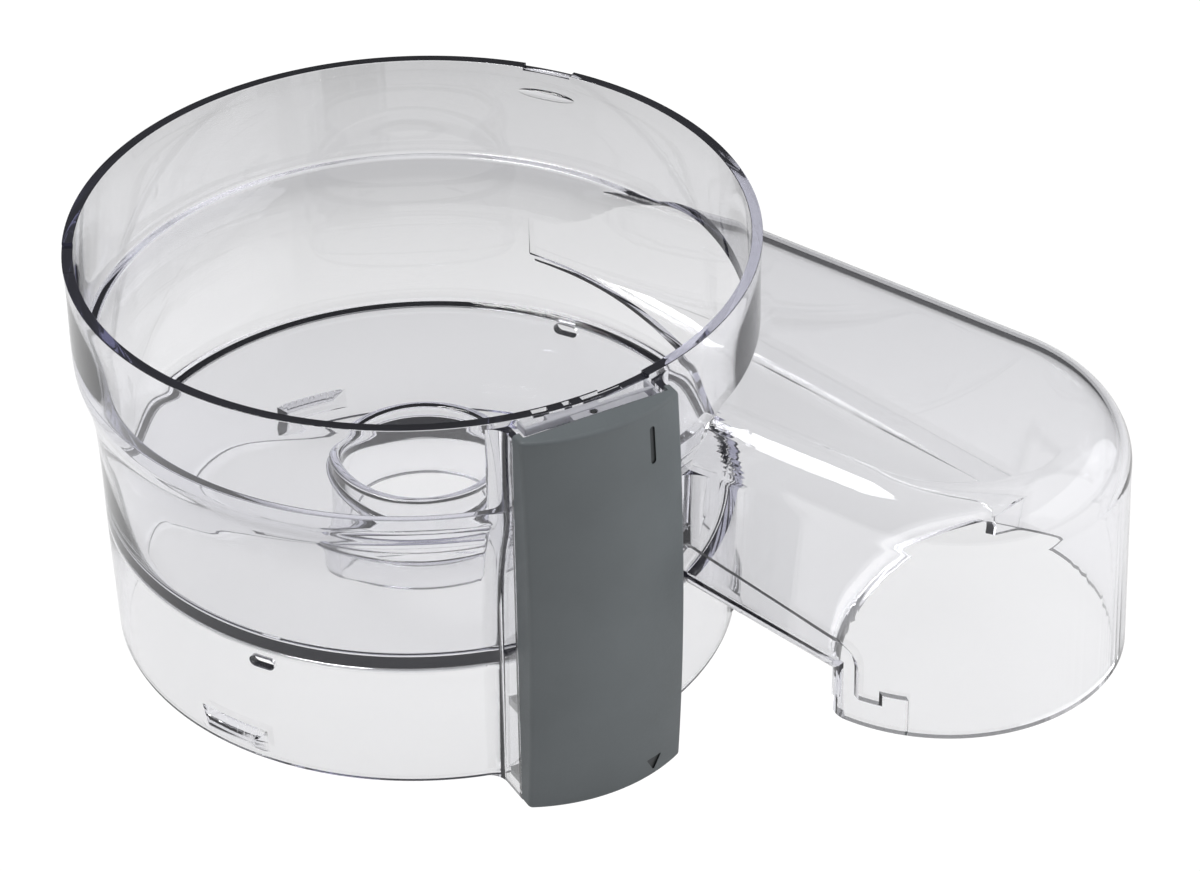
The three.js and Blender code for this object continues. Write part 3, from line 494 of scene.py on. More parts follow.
def outer_wall(extra=0.0):
    """The outer skin's radius and height from the foot to the rim, as a smooth curve."""
    taper = [(BASE_RADIUS + (WAIST_RADIUS - BASE_RADIUS) * s, WAIST_HEIGHT * h) for h, s in TAPER_SHARES]
    shoulder = [
        (WAIST_RADIUS + (BAND_RADIUS - WAIST_RADIUS) * s, WAIST_HEIGHT + (BAND_FOOT - WAIST_HEIGHT) * h)
        for h, s in SHOULDER_SHARES
    ]
    rim_foot = BOWL_HEIGHT - (BOWL_HEIGHT - BAND_FOOT) / 3
    points = taper + shoulder + [(BAND_RADIUS, rim_foot), (RIM_RADIUS, BOWL_HEIGHT)]
    return through(points) + [extra, 0]


def outer_radius(height):
    """The outer skin's radius at a height."""
    radii, heights = outer_wall().T
    return float(np.interp(height, heights, radii))


def bowl_profile():
    """The bowl's closed profile, outer skin first, with every moulded edge a little round."""
    outer = soft(outer_wall())
    outer[0, 2], outer[-1, 2] = EDGE, RIM_EDGE
    floor_foot = FLOOR_TOP - FLOOR_THICKNESS
    tube_top, tube_foot = FLOOR_TOP + TUBE_LIP, floor_foot - TUBE_DROP
    bore = TUBE_RADIUS - TUBE_WALL
    inner = [
        (RIM_RADIUS - RIM_WALL, BOWL_HEIGHT, RIM_EDGE),
        (LEDGE_RADIUS, LEDGE_HEIGHT, LEDGE_EDGE),
        (LEDGE_RADIUS - WALL, LEDGE_HEIGHT, LEDGE_FILLET),
        (outer_radius(WAIST_HEIGHT + WALL) - WALL, WAIST_HEIGHT, WAIST_BEND),
        (outer_radius(FLOOR_TOP) - WALL, FLOOR_TOP, FLOOR_FILLET),
        (TUBE_RADIUS, FLOOR_TOP, TUBE_FILLET),
        (TUBE_RADIUS, tube_top, TUBE_EDGE),
        (bore, tube_top, BORE_EDGE),
        (bore, tube_foot, TUBE_FOOT_EDGE),
        (TUBE_RADIUS, tube_foot, TUBE_FOOT_EDGE),
        (TUBE_RADIUS, floor_foot, UNDER_FILLET),
        (outer_radius(floor_foot) - SKIRT_WALL, floor_foot, SKIRT_FILLET),
        (BASE_RADIUS - SKIRT_WALL, 0, EDGE),
    ]
    return rounded(np.vstack([outer, inner]))


profile = bowl_profile()
bowl = turned("bowl_clear", profile)
print("bowl profile", len(profile), "points")

# %% [markdown]
# ## The chute
#
# The chute is a box with a round end, a roof with round edges and a sloping floor that turns down into a
# spout. Its skin and the space inside it are the same shape at two insets, so the wall is their difference.

# %% Chute sizes
CHUTE_HALF_TOP = 52.26
NEAR_PAST_AXIS = 3.06
CHUTE_MIDDLE = CHUTE_HALF_TOP - NEAR_PAST_AXIS
CHUTE_DRAFT = 1.54
CHUTE_HALF_FOOT = CHUTE_HALF_TOP + CHUTE_DRAFT
CHUTE_REACH = RIM_RADIUS + 49.9
CHUTE_WALL = 3
CHUTE_FOOT = 18.3
ROOF_HEIGHT = BAND_FOOT + 2.5
ROOF_STATION = CHUTE_REACH - 50.1
ROOF_SLOPE = -0.047
ROOF_FILLET = 15.5
BLEND_STATION = 60
BLEND_RADIUS = 384
CHUTE_ROOT = -24
NEAR_BLEND = 10
RAMP_HEIGHT = 38
RAMP_STATION = CHUTE_REACH - 40.1
RAMP_SLOPE = -0.19
RAMP_CORNER = 12
RAMP_TURN = 6
SPOUT_BACK = CHUTE_REACH - 21.7
SPOUT_RADIUS = 87
SPOUT_CENTRE = SPOUT_BACK + SPOUT_RADIUS
LIP_HEIGHT, POST_WIDTH, POST_CORNER = 27.8, 10, 5
SPOUT_CORNER = 8
SPOUT_SWING = math.asin((CHUTE_HALF_FOOT - SPOUT_CORNER) / (SPOUT_RADIUS - SPOUT_CORNER))
TURN_FADE, TURN_LEAST = 0.09, 0.03
GAP = 0.3
SEAM_GAP = 0.12


def chute_ring(inset, height):
    """The chute's plan outline, drawn in by an inset, at one height."""
    lower = (ROOF_HEIGHT - height) / (ROOF_HEIGHT - CHUTE_FOOT)
    half = CHUTE_HALF_TOP + CHUTE_DRAFT * lower - inset
    end = arc(CHUTE_REACH, CHUTE_MIDDLE, half, -90, 90, 96)
    bend = BLEND_RADIUS - inset
    foot = 90 + math.degrees(math.asin((BLEND_STATION - CHUTE_ROOT) / bend))
    blend = arc(BLEND_STATION, CHUTE_MIDDLE + half - bend, bend, 90, foot, 16)
    return np.vstack([[(BLEND_STATION, CHUTE_MIDDLE - half)], end, blend])


def chute_space(name, inset):
    """The space inside the chute's walls and roof: upright walls, then a quarter round up to the roof."""
    fillet = ROOF_FILLET - inset
    rings = [level(chute_ring(inset, CHUTE_FOOT), CHUTE_FOOT - inset)]
    for angle in np.radians(np.linspace(0, 90, 19)):
        plan = chute_ring(inset + fillet * (1 - math.cos(angle)), ROOF_HEIGHT)
        roof = ROOF_HEIGHT - inset + ROOF_SLOPE * (plan[:, 0] - ROOF_STATION)
        rings.append(np.column_stack([plan, roof - fillet * (1 - math.sin(angle))]))
    return stacked(name, rings)


def trough_space(name, inset):
    """Everything over the ramp: a section with round lower corners, carried along X and sheared downhill."""
    half = CHUTE_HALF_FOOT - inset
    low, top = RAMP_HEIGHT - CHUTE_WALL + inset, ROOF_HEIGHT + ROOF_FILLET
    corner = RAMP_CORNER - inset
    left, right = CHUTE_MIDDLE - half, CHUTE_MIDDLE + half
    section = rounded([(left, low, corner), (right, low, corner), (right, top, 0), (left, top, 0)], 16)
    rings = along_x(section, CHUTE_ROOT - WALL, CHUTE_REACH)
    rings[..., 2] += RAMP_SLOPE * (rings[..., 0] - RAMP_STATION)
    return stacked(name, rings)


def spout_space(name, inset):
    """The upright spout: its back is an arc in plan, with a rounded corner to each side wall."""
    half = CHUTE_HALF_FOOT - inset
    corner, bend = SPOUT_CORNER - inset, SPOUT_RADIUS - inset
    swing = math.degrees(SPOUT_SWING)
    x = SPOUT_CENTRE - (bend - corner) * math.cos(SPOUT_SWING)
    end = CHUTE_REACH + CHUTE_HALF_FOOT
    low, high = CHUTE_MIDDLE - half, CHUTE_MIDDLE + half
    back = arc(SPOUT_CENTRE, CHUTE_MIDDLE, bend, 180 - swing, 180 + swing, 64)[1:-1]
    far = arc(x, high - corner, corner, 90, 180 - swing, 10)
    near = arc(x, low + corner, corner, 180 + swing, 270, 10)
    plan = np.vstack([[(end, low), (end, high)], far, back, near])
    return stacked(name, raised(plan, CHUTE_FOOT - inset, ROOF_HEIGHT))


def ramp_floor(x, y, inset):
    """The ramp's height, and its slope along x and y. Near a side wall it climbs a round corner:
    lift = corner - sqrt(corner^2 - over^2), where over is how far y has passed the corner's start."""
    corner = RAMP_CORNER - inset
    side = y - CHUTE_MIDDLE
    over = np.clip(np.abs(side) - (CHUTE_HALF_FOOT - RAMP_CORNER), 0, corner * 0.97)
    rest = np.sqrt(corner**2 - over**2)
    height = RAMP_HEIGHT - CHUTE_WALL + inset + RAMP_SLOPE * (x - RAMP_STATION) + corner - rest
    return height, RAMP_SLOPE + 0 * x, np.sign(side) * over / rest


def turn_fillet(name, inset, steps=64, curve_steps=12):
    """The rounding where the ramp turns down into the spout. In each upright section along the curved back
    it is the quadratic curve (1-t)^2 a + 2t(1-t) b + t^2 c, with a on the back, c on the ramp and b where
    their tangents meet. It fades out at both ends."""
    bend = SPOUT_RADIUS - inset
    swing = np.linspace(-SPOUT_SWING, SPOUT_SWING, steps + 1)[:, None]
    fade = np.clip((SPOUT_SWING - np.abs(swing)) / TURN_FADE, TURN_LEAST, 1)
    width = (RAMP_TURN - CHUTE_WALL + inset) * fade
    x = SPOUT_CENTRE - (bend + width) * np.cos(swing)
    y = CHUTE_MIDDLE + (bend + width) * np.sin(swing)
    top, slope_x, slope_y = ramp_floor(x, y, inset)
    climb = -slope_x * np.cos(swing) + slope_y * np.sin(swing)
    meet = top - climb * width
    drop = np.hypot(width, climb * width)
    t = np.linspace(0, 1, curve_steps + 1)
    r = np.hstack([0 * top - OVERRUN, 0 * top - OVERRUN, width * t**2, width])
    z = (1 - t) ** 2 * (meet - drop) + 2 * t * (1 - t) * meet + t**2 * top
    z = np.hstack([top + OVERRUN / 2, meet - drop, z, top + OVERRUN / 2])
    r = bend + r
    grid = np.stack([SPOUT_CENTRE - r * np.cos(swing), CHUTE_MIDDLE + r * np.sin(swing), z], -1)
    return stacked(name, grid)


def lip_window():
    """The opening under the spout's curved back, between the two posts that reach the spout's foot."""
    half = CHUTE_HALF_FOOT - POST_WIDTH
    low, high = CHUTE_MIDDLE - half, CHUTE_MIDDLE + half
    corners = [(low, -OVERRUN, 0), (high, -OVERRUN, 0)]
    corners += [(high, LIP_HEIGHT, POST_CORNER), (low, LIP_HEIGHT, POST_CORNER)]
    return stacked("lip", along_x(rounded(corners, 8), SPOUT_BACK - OVERRUN, CHUTE_REACH))


def chute_solid(name, inset):
    """The skin or the hollow of the chute: its walls and roof, cut to what lies over the ramp and spout."""
    inner = combine(trough_space("trough", inset), [spout_space("spout", inset)], "UNION")
    inner = combine(inner, [turn_fillet("fillet", inset)], "UNION")
    return combine(chute_space(name, inset), [inner], "INTERSECT")


# %% [markdown]
# Where the near wall leaves the bowl, a hollow fillet joins them. The joint between hood and ramp starts
# there and runs down the near wall to a small stepped tab at the spout. Its faces lie along the camera's line
# of sight, so it shows as a thin line: for each millimetre of y that line runs back by SIGHT in x. The far
# wall has no joint line, only a foot.


# %% Corner between the near wall and the bowl
def touching(skin, y, radius, start, steps):
    """An arc that touches a circle about the axis from outside, centred at y: its centre's x, its points."""
    x = math.sqrt((skin + radius) ** 2 - y**2)
    return x, arc(x, y, radius, start, math.degrees(math.atan2(-y, -x)), steps)


def near_corner():
    """A hollow fillet: the arc that touches the near wall and the bowl's wall, filled up to both."""
    near = CHUTE_MIDDLE - CHUTE_HALF_TOP
    y = near - NEAR_BLEND
    x, curve = touching(WAIST_RADIUS, y, NEAR_BLEND, 90, 20)
    inside = near + CHUTE_WALL
    plan = np.vstack([[(x, inside)], curve, [(BLEND_STATION, y), (BLEND_STATION, inside)]])
    return stacked("corner", raised(plan, SEAM_START, ROOF_HEIGHT - ROOF_FILLET))


def envelope(name, gap):
    """The space inside the bowl's outer skin, grown by a gap and long enough to cut with."""
    outer = outer_wall(gap)
    foot, top = (outer[0, 0], -OVERRUN), (outer[-1, 0], BOWL_HEIGHT + OVERRUN)
    profile = np.vstack([[(TINY, -OVERRUN), foot], outer, [top, (TINY, BOWL_HEIGHT + OVERRUN)]])
    return turned(name, profile)


# %% Joint line between hood and ramp
SEAM_START = 57.5
SEAM_STATION = CHUTE_REACH - 55.1
SEAM_SLOPE = -0.255
SEAM_TURN = 8.2
SEAM_DROP = CHUTE_REACH + 5.1
TAB_SHOULDER = 27
TAB_TOP = 30.6
TAB_STEP = SEAM_DROP + 8
TAB_END = TAB_STEP + 9
SIGHT = 0.778
NEAR_FACE, NEAR_SKIN = CHUTE_MIDDLE - CHUTE_HALF_FOOT, 11
FAR_FACE = CHUTE_MIDDLE + 52.4
FAR_TOP, FAR_START, FAR_END, FAR_STATION, FAR_TURN = 60, 52.6, 27.1, 137.5, 10


def under_seam(name, side, down):
    """Everything under the joint in the near wall: a side view with a round turn and a stepped tab."""
    bend = SEAM_DROP - SEAM_TURN
    start, turn_at = -SEAM_STATION, SEAM_START + SEAM_SLOPE * (bend - SEAM_STATION)
    curve = arc(bend, turn_at - SEAM_TURN, SEAM_TURN, 90, 0, 16)
    line = np.vstack([[(start, SEAM_START + SEAM_SLOPE * (start - SEAM_STATION))], curve])
    tab = [(SEAM_DROP, TAB_SHOULDER), (TAB_STEP, TAB_SHOULDER), (TAB_STEP, TAB_TOP), (TAB_END, TAB_TOP)]
    outline = np.vstack([line, tab, [(TAB_END, -OVERRUN), (start, -OVERRUN)]]) + [side, -down]
    rings = along_y(outline, NEAR_FACE - NEAR_BLEND, NEAR_SKIN)
    rings[..., 0] -= SIGHT * (rings[..., 1] - NEAR_FACE)
    return stacked(name, rings)


def joint_slit():
    """The thin slit between hood and ramp: the space under the joint, less the same space moved down by the
    gap, once to each side."""
    moved = [under_seam(f"moved {side}", side * SEAM_GAP, SEAM_GAP) for side in (-1, 1)]
    inner = combine(moved[0], [moved[1]], "INTERSECT")
    return combine(under_seam("slit", 0, 0), [inner], "DIFFERENCE")


def far_foot():
    """The lower part of the far wall. Its foot line falls gently, then turns down along the spout."""
    line = [(CHUTE_ROOT, FAR_TOP, 0), (CHUTE_ROOT, FAR_START, 0), (FAR_STATION, FAR_END, FAR_TURN)]
    line += [(FAR_STATION, CHUTE_FOOT, 0), (CHUTE_REACH, CHUTE_FOOT, 0), (CHUTE_REACH, FAR_TOP, 0)]
    wall = stacked("far_foot", along_y(rounded(line, 16), FAR_FACE, FAR_FACE + 2 * CHUTE_WALL))
    return combine(wall, [chute_space("walls", 0)], "INTERSECT")


# %% [markdown]
# In the model the hood and the ramp are pieces of their own. Here both are joined to the bowl: a joint face
# inside clear plastic throws light back and turns dark in a render, and the photograph shows only the near
# joint. So one clear piece stands for the three nodes, and the near joint is a thin slit in it.

# %% Hood and ramp
void = chute_solid("chute_void", CHUTE_WALL)
chute = combine(chute_solid("chute", 0), [near_corner(), far_foot()], "UNION")
cuts = [add_object("void", void.data.copy()), lip_window(), joint_slit(), envelope("envelope", -ROOT)]
combine(chute, cuts, "DIFFERENCE")

# %% [markdown]
# ## What is moulded onto the bowl
#
# Three bayonet lugs on the skirt lock the bowl on its base, and three lugs inside the band lock the lid. Over
# each lid lug the rim has a shallow notch. Two small slots under the floor let water drain. The lugs' ends
# slope or fade out, because an upright end shows as a dark edge.


# %% Lugs, notches and slots
def swept(name, azimuth, span, radius, height):
    """A solid whose section changes on its way round: one row of radius and height for each step."""
    angle = np.radians(azimuth + span * np.linspace(-0.5, 0.5, len(radius)))[:, None]
    return stacked(name, np.stack([radius * np.cos(angle), radius * np.sin(angle), height + 0 * angle], -1))


def sector(name, profile, azimuth, span, steps=24):
    """A stretch of a turned profile, centred on an azimuth."""
    profile = np.asarray(profile, float)
    if area(profile) > 0:
        profile = profile[::-1]
    radius, height = np.tile(profile.T[:, None], (1, steps + 1, 1))
    return swept(name, azimuth, span, radius, height)


THIRDS = (0, 120, 240)
LUG_AZIMUTH, LUG_SPAN, LUG_FOOT, LUG_HEIGHT, LUG_PROUD, LUG_CHAMFER = -90, 15.5, 3.6, 7.9, 2.2, 1.4
LUG_SHARE = np.linspace(-1, 1, 33)[:, None]
LUG_RAMP, LUG_SLOPE, LUG_LEAST = 0.375, 5, 0.02
LID_LUG_AZIMUTH, LID_LUG_SPAN, LID_LUG_DROP, LID_LUG_HEIGHT, LID_LUG_PROUD = 101.9, 11.2, 6.5, 3.4, 1.6
NOTCH_SPAN, NOTCH_DEPTH = 9.1, 1
DRAIN_AZIMUTH, DRAIN_WIDTH, DRAIN_HEIGHT, DRAIN_FOOT = -82.6, 8.1, 3.7, 34.3


def bayonet_lug(azimuth):
    """A block with a sloping top and sloping ends. Where an end cuts it lower, its other faces stay put."""
    share = np.clip((1 - np.abs(LUG_SHARE)) / LUG_RAMP, LUG_LEAST, 1)
    proud, flat, top = LUG_PROUD * share, LUG_PROUD - LUG_CHAMFER, LUG_FOOT + LUG_HEIGHT
    zero, foot = 0 * share, LUG_FOOT + 0 * share
    radius = [zero - ROOT, zero, proud, proud, np.minimum(proud, flat), zero - ROOT]
    slope, chamfer = top - LUG_SLOPE * share, foot + np.maximum(proud - flat, 0)
    height = [zero + top, zero + top, slope, chamfer, foot, foot]
    return swept("bayonet_lug", azimuth, LUG_SPAN, BASE_RADIUS + np.hstack(radius), np.hstack(height))


def lid_lug(azimuth):
    """A lens on the band's inner face: half an ellipse whose two radii fade as sqrt(1 - s * s) along it."""
    fade = np.sqrt(np.maximum(1 - LUG_SHARE**2, TINY))
    angle = np.radians(np.linspace(-90, 90, 13))
    face, half = RIM_RADIUS - RIM_WALL, LID_LUG_HEIGHT / 2
    middle, back = BOWL_HEIGHT - LID_LUG_DROP - half, np.full((len(fade), 2), face + ROOT)
    radius = np.hstack([face - LID_LUG_PROUD * fade * np.cos(angle), back])
    height = middle + half * fade * np.append(np.sin(angle), [1, -1])
    return swept("lid_lug", azimuth, LID_LUG_SPAN, radius, height)


def rim_cut(name, inner, outer, depth, azimuth, span):
    low, high = BOWL_HEIGHT - depth, BOWL_HEIGHT + OVERRUN
    return sector(name, oblong(inner, low, outer, high), azimuth, span)


def spun(rings, azimuth, shift=0.0):
    """Rings shifted along Y, then turned about the bowl's axis."""
    rings = np.array(rings, float)
    rings[..., 1] += shift
    c, s = math.cos(math.radians(azimuth)), math.sin(math.radians(azimuth))
    x, y = rings[..., 0].copy(), rings[..., 1].copy()
    rings[..., 0], rings[..., 1] = x * c - y * s, x * s + y * c
    return rings


def drain_slot(azimuth):
    half, low = DRAIN_WIDTH / 2, DRAIN_FOOT
    round_end = DRAIN_HEIGHT / 2 - TINY
    outline = rounded(soft(oblong(-half, low, half, low + DRAIN_HEIGHT), round_end), 10)
    rings = along_x(outline, BASE_RADIUS - WALL - ROOT, WAIST_RADIUS + OVERRUN)
    return stacked("drain_slot", spun(rings, azimuth))


# %% [markdown]
# ## The clear sides of the handle
#
# Two clear walls run out from the bowl to the grey cover. Where each meets the bowl the mould leaves a hollow
# corner, which is the pale strip with a dark line beside the handle.

# %% Handle sizes
HANDLE_AZIMUTH = -26.1
HANDLE_SHIFT = 0.5
COVER_HALF = 24.5
COVER_FRONT = RIM_RADIUS + 14.2
COVER_RADIUS = 52.8
COVER_BACK = RIM_RADIUS + 3.8
COVER_WALL = 2.2
COVER_BULGE = 3
COVER_FOOT = 0.5
COVER_DROP = 0.4
COVER_LIP = RIM_RADIUS + 6.1
LIP_THICKNESS = 2.3
SIDE_WALL = 2.2
SIDE_INSET = 0.3
TONGUE_WALL = 1.6
TONGUE_REACH = RIM_RADIUS + 5.8
TONGUE_ROOT = TONGUE_REACH - 5
SIDE_FLARE = 9
SIDE_CORNER = 6
WEB_EDGE, TONGUE_EDGE = 0.4, 0.3
SIDE_TOP = BOWL_HEIGHT - COVER_DROP - 1.5


def on_handle(name, rings):
    """A stack of rings in the handle's own axes: X outwards, Y along the rim."""
    return stacked(name, spun(rings, HANDLE_AZIMUTH, HANDLE_SHIFT))


def box(low, high, radius=0.0):
    """The rings of a block with its upright edges rounded."""
    (x0, y0, z0), (x1, y1, z1) = low, high
    corners = soft(oblong(x0, y0, x1, y1), radius)
    return raised(rounded(corners) if radius else corners[:, :2], z0, z1)


def side_wall(side):
    """One clear side wall: its web, the tongue that the cover slides over, and the shoulder between them."""
    face = COVER_HALF - SIDE_INSET
    inner = WAIST_RADIUS - WALL
    near, far = sorted((side * (face - SIDE_WALL), side * face))
    edge = COVER_HALF - COVER_WALL - GAP
    tongue = sorted((side * (edge - TONGUE_WALL), side * edge))
    web = on_handle("web", box((inner, near, COVER_FOOT), (COVER_BACK - GAP, far, SIDE_TOP), WEB_EDGE))
    low, high = min(near, tongue[0]), max(far, tongue[1])
    top = SIDE_TOP - LIP_THICKNESS
    others = [
        box((TONGUE_ROOT, tongue[0], COVER_FOOT), (TONGUE_REACH, tongue[1], top), TONGUE_EDGE),
        box((TONGUE_ROOT, low, COVER_FOOT), (COVER_BACK - GAP, high, top), TONGUE_EDGE),
    ]
    return combine(web, [on_handle("inner", rings) for rings in others] + [hollow_corner(side)], "UNION")


def hollow_corner(side, levels=26):
    """The hollow fillet between a side wall and the bowl. At each height its arc touches the wall's face and
    the bowl's circle there: the centre lies one radius off both."""
    face = COVER_HALF - SIDE_INSET + side * HANDLE_SHIFT
    rings = []
    for height in np.linspace(COVER_FOOT, SIDE_TOP, levels):
        skin = outer_radius(height)
        y = face + SIDE_CORNER
        x, curve = touching(skin, y, SIDE_CORNER, -90, 14)
        inside = (skin - ROOT) / (skin + SIDE_CORNER)
        under = (math.sqrt((skin - ROOT) ** 2 - (face - ROOT) ** 2), face - ROOT)
        plan = np.vstack([curve, [(x * inside, y * inside), under, (x, face - ROOT)]])
        plan[:, 1] = side * plan[:, 1] - HANDLE_SHIFT
        if area(plan) < 0:
            plan = plan[::-1]
        rings.append(level(plan, height))
    return on_handle("corner", rings)


# %% [markdown]
# The chute, the lugs and the side walls are joined to the turned profile first. Then the openings are cut:
# the chute's mouth, the drain slots, the notches, and three shallow windows in the rim's top over the handle.


# %% Put the bowl together
def chute_mouth():
    """The chute's space where it passes the wall, from the flat floor's edge outwards."""
    edge = outer_radius(FLOOR_TOP) - WALL - FLOOR_FILLET
    inside = turned("core", oblong(TINY, -OVERRUN, edge, LEDGE_HEIGHT))
    return combine(void, [inside], "DIFFERENCE")


# Windows in the rim's top over the handle: middle and width, as shares of the cover's half width.
WINDOW_SHARES = [(-0.53, 0.19), (-0.2, 0.09), (0.25, 0.53)]
WINDOW_DEPTH, WINDOW_WALL = 1.2, 0.7


def rim_window(middle, width):
    span = math.degrees(width * COVER_HALF / RIM_RADIUS)
    azimuth = HANDLE_AZIMUTH + math.degrees((middle * COVER_HALF + HANDLE_SHIFT) / RIM_RADIUS)
    inner, outer = RIM_RADIUS - RIM_WALL + WINDOW_WALL, RIM_RADIUS - WINDOW_WALL
    return rim_cut("window", inner, outer, WINDOW_DEPTH, azimuth, span)


def side_walls():
    """Both side walls, cut back so that they only root in the bowl's wall."""
    walls = [side_wall(side) for side in (1, -1)]
    for wall in walls:
        combine(wall, [envelope("envelope", -ROOT)], "DIFFERENCE")
    return walls


additions = [bayonet_lug(LUG_AZIMUTH + third) for third in THIRDS]
additions += [lid_lug(LID_LUG_AZIMUTH + third) for third in THIRDS]
cuts = [chute_mouth()] + [drain_slot(DRAIN_AZIMUTH + half) for half in (0, 180)]
notch = (LEDGE_RADIUS - OVERRUN, RIM_RADIUS + OVERRUN, NOTCH_DEPTH)
cuts += [rim_cut("notch", *notch, LID_LUG_AZIMUTH + third, NOTCH_SPAN) for third in THIRDS]
cuts += [rim_window(*shares) for shares in WINDOW_SHARES]
combine(bowl, additions + side_walls() + [chute], "UNION")
combine(bowl, cuts, "DIFFERENCE")
finish_piece(bowl, "bowl_body", "chute_hood", "chute_ramp")

# %% [markdown]
# ## The handle's cover
#
# The cover is a shell with an arched front, slightly fuller at mid height. Rings up its height carry the
# arch, and the first and last few rings draw in to round its top and bottom edges.

# %% Cover's space
COVER_CORNER = 1.8
COVER_EDGE = 1.1
LEAST_CORNER = 0.2
ARCH = np.linspace(-0.9, 0.9, 37)


def arch_centre(height):
    """How far out the centre of the cover's arched front lies: the front bulges most at mid height."""
    return COVER_FRONT + COVER_BULGE * (1 - (2 * height / BOWL_HEIGHT - 1) ** 2) - COVER_RADIUS


def cover_ring(inset, height, back):
    """The cover's plan at one height: a straight back, two short sides and an arched front."""
    centre = arch_centre(height)
    radius, half = COVER_RADIUS - inset, COVER_HALF - inset
    swing = math.asin(half / radius)
    shoulder = centre + radius * math.cos(swing)
    arch = soft(np.stack([centre + radius * np.cos(ARCH * swing), radius * np.sin(ARCH * swing)], -1))
    corner = max(COVER_CORNER - inset, LEAST_CORNER)
    low = [(back, half, 0), (back, -half, 0), (shoulder, -half, corner)]
    return rounded(np.vstack([low, arch, [(shoulder, half, corner)]]), 8)


def cover_space(name, inset, low, high, back, edge=0.0, levels=30):
    """The cover's space between two heights: rings up its height, and a quarter round at top and foot."""
    bend = np.radians(np.linspace(90, 0, 7)) if edge else np.array([0.0])
    drawn, rise = edge * (1 - np.cos(bend)), edge * (1 - np.sin(bend))
    middle = np.linspace(low + edge, high - edge, levels)[1:-1]
    heights = np.concatenate([low + rise, middle, (high - rise)[::-1]])
    insets = inset + np.concatenate([drawn, 0 * middle, drawn[::-1]])
    rings = [level(cover_ring(inward, height, back), height) for height, inward in zip(heights, insets)]
    return on_handle(name, rings)


# %% Cover
BAR_OFFSET, BAR_WIDTH, BAR_DROP, BAR_HEIGHT = 13.3, 1.8, 4.8, 11.6
MARK_DEPTH = 0.5
ARROW_TOP, ARROW_WIDTH, ARROW_HEIGHT, ARROW_CORNER = 7.6, 5.6, 5, 0.3
BOSS_OFFSET, BOSS_RADIUS, BOSS_HEIGHT, BOSS_REACH = 13.5, 3, 9, RIM_RADIUS + 6.8
ROD_REACH = RIM_RADIUS + 4.7
WEDGE_HALF = 1.2
RAIL_LIP = 1.8
SHELF_LEFT, SHELF_RIGHT = -16, 12
COVER_TOP = BOWL_HEIGHT - COVER_DROP
RIB_HEIGHT, SLIDER_HEIGHT = 2.6, 4.1
SLIDER_FOOT = COVER_TOP - RIB_HEIGHT - SLIDER_HEIGHT
CAP_LIFT, CAP_THICKNESS = 0.8, 2.6
CAP_TOP = CAP_LIFT + CAP_THICKNESS
SCREW_RADIUS, SCREW_LENGTH = 1.3, 8
FAR_FRONT = COVER_FRONT + COVER_BULGE


def disc(name, radius, low, high, x, y, sides=48):
    """An upright cylinder in the handle's axes."""
    circle = arc(x, y, radius, 0, 360, sides)[:-1]
    return on_handle(name, raised(circle, low, high))


def marks():
    """The plain bar and the triangle that are sunk into the cover's front."""
    low, high = COVER_TOP - BAR_DROP - BAR_HEIGHT, COVER_TOP - BAR_DROP
    left, right = BAR_OFFSET - BAR_WIDTH / 2, BAR_OFFSET + BAR_WIDTH / 2
    ends = BAR_WIDTH / 2 - TINY
    bar = rounded(soft(oblong(left, low, right, high), ends), 10)
    left, right = BAR_OFFSET - ARROW_WIDTH / 2, BAR_OFFSET + ARROW_WIDTH / 2
    arrow = [(left, ARROW_TOP), (BAR_OFFSET, ARROW_TOP - ARROW_HEIGHT), (right, ARROW_TOP)]
    reach = (COVER_FRONT - COVER_RADIUS / 2, FAR_FRONT + OVERRUN)
    both = [rounded(soft(arrow, ARROW_CORNER), 5), bar]
    cut, other = [on_handle("mark", along_x(outline, *reach)) for outline in both]
    combine(cut, [other], "UNION")
    core = cover_space("core", MARK_DEPTH, -OVERRUN, BOWL_HEIGHT, COVER_BACK - OVERRUN)
    return combine(cut, [core], "DIFFERENCE")


def inner_fittings():
    """The slider's shelf and the two screw bosses, kept inside the cover's walls."""
    low = CAP_TOP + GAP
    top = SLIDER_FOOT - GAP
    shelf = box((ROD_REACH + WEDGE_HALF + GAP, SHELF_LEFT, top - RAIL_LIP), (FAR_FRONT, SHELF_RIGHT, top))
    made = [on_handle("shelf", shelf)]
    for y in (-BOSS_OFFSET, BOSS_OFFSET):
        web = box((BOSS_REACH, y - BOSS_RADIUS / 2, low), (FAR_FRONT, y + BOSS_RADIUS / 2, low + BOSS_HEIGHT))
        post = disc("post", BOSS_RADIUS, low, low + BOSS_HEIGHT, BOSS_REACH, y)
        hole = disc("hole", SCREW_RADIUS + GAP, low - OVERRUN, low + SCREW_LENGTH, BOSS_REACH, y)
        made.append(combine(combine(post, [on_handle("web", web)], "UNION"), [hole], "DIFFERENCE"))
    inside = (COVER_WALL - ROOT / 2, COVER_FOOT, COVER_TOP, COVER_LIP)
    return [combine(piece, [cover_space("inside", *inside)], "INTERSECT") for piece in made]


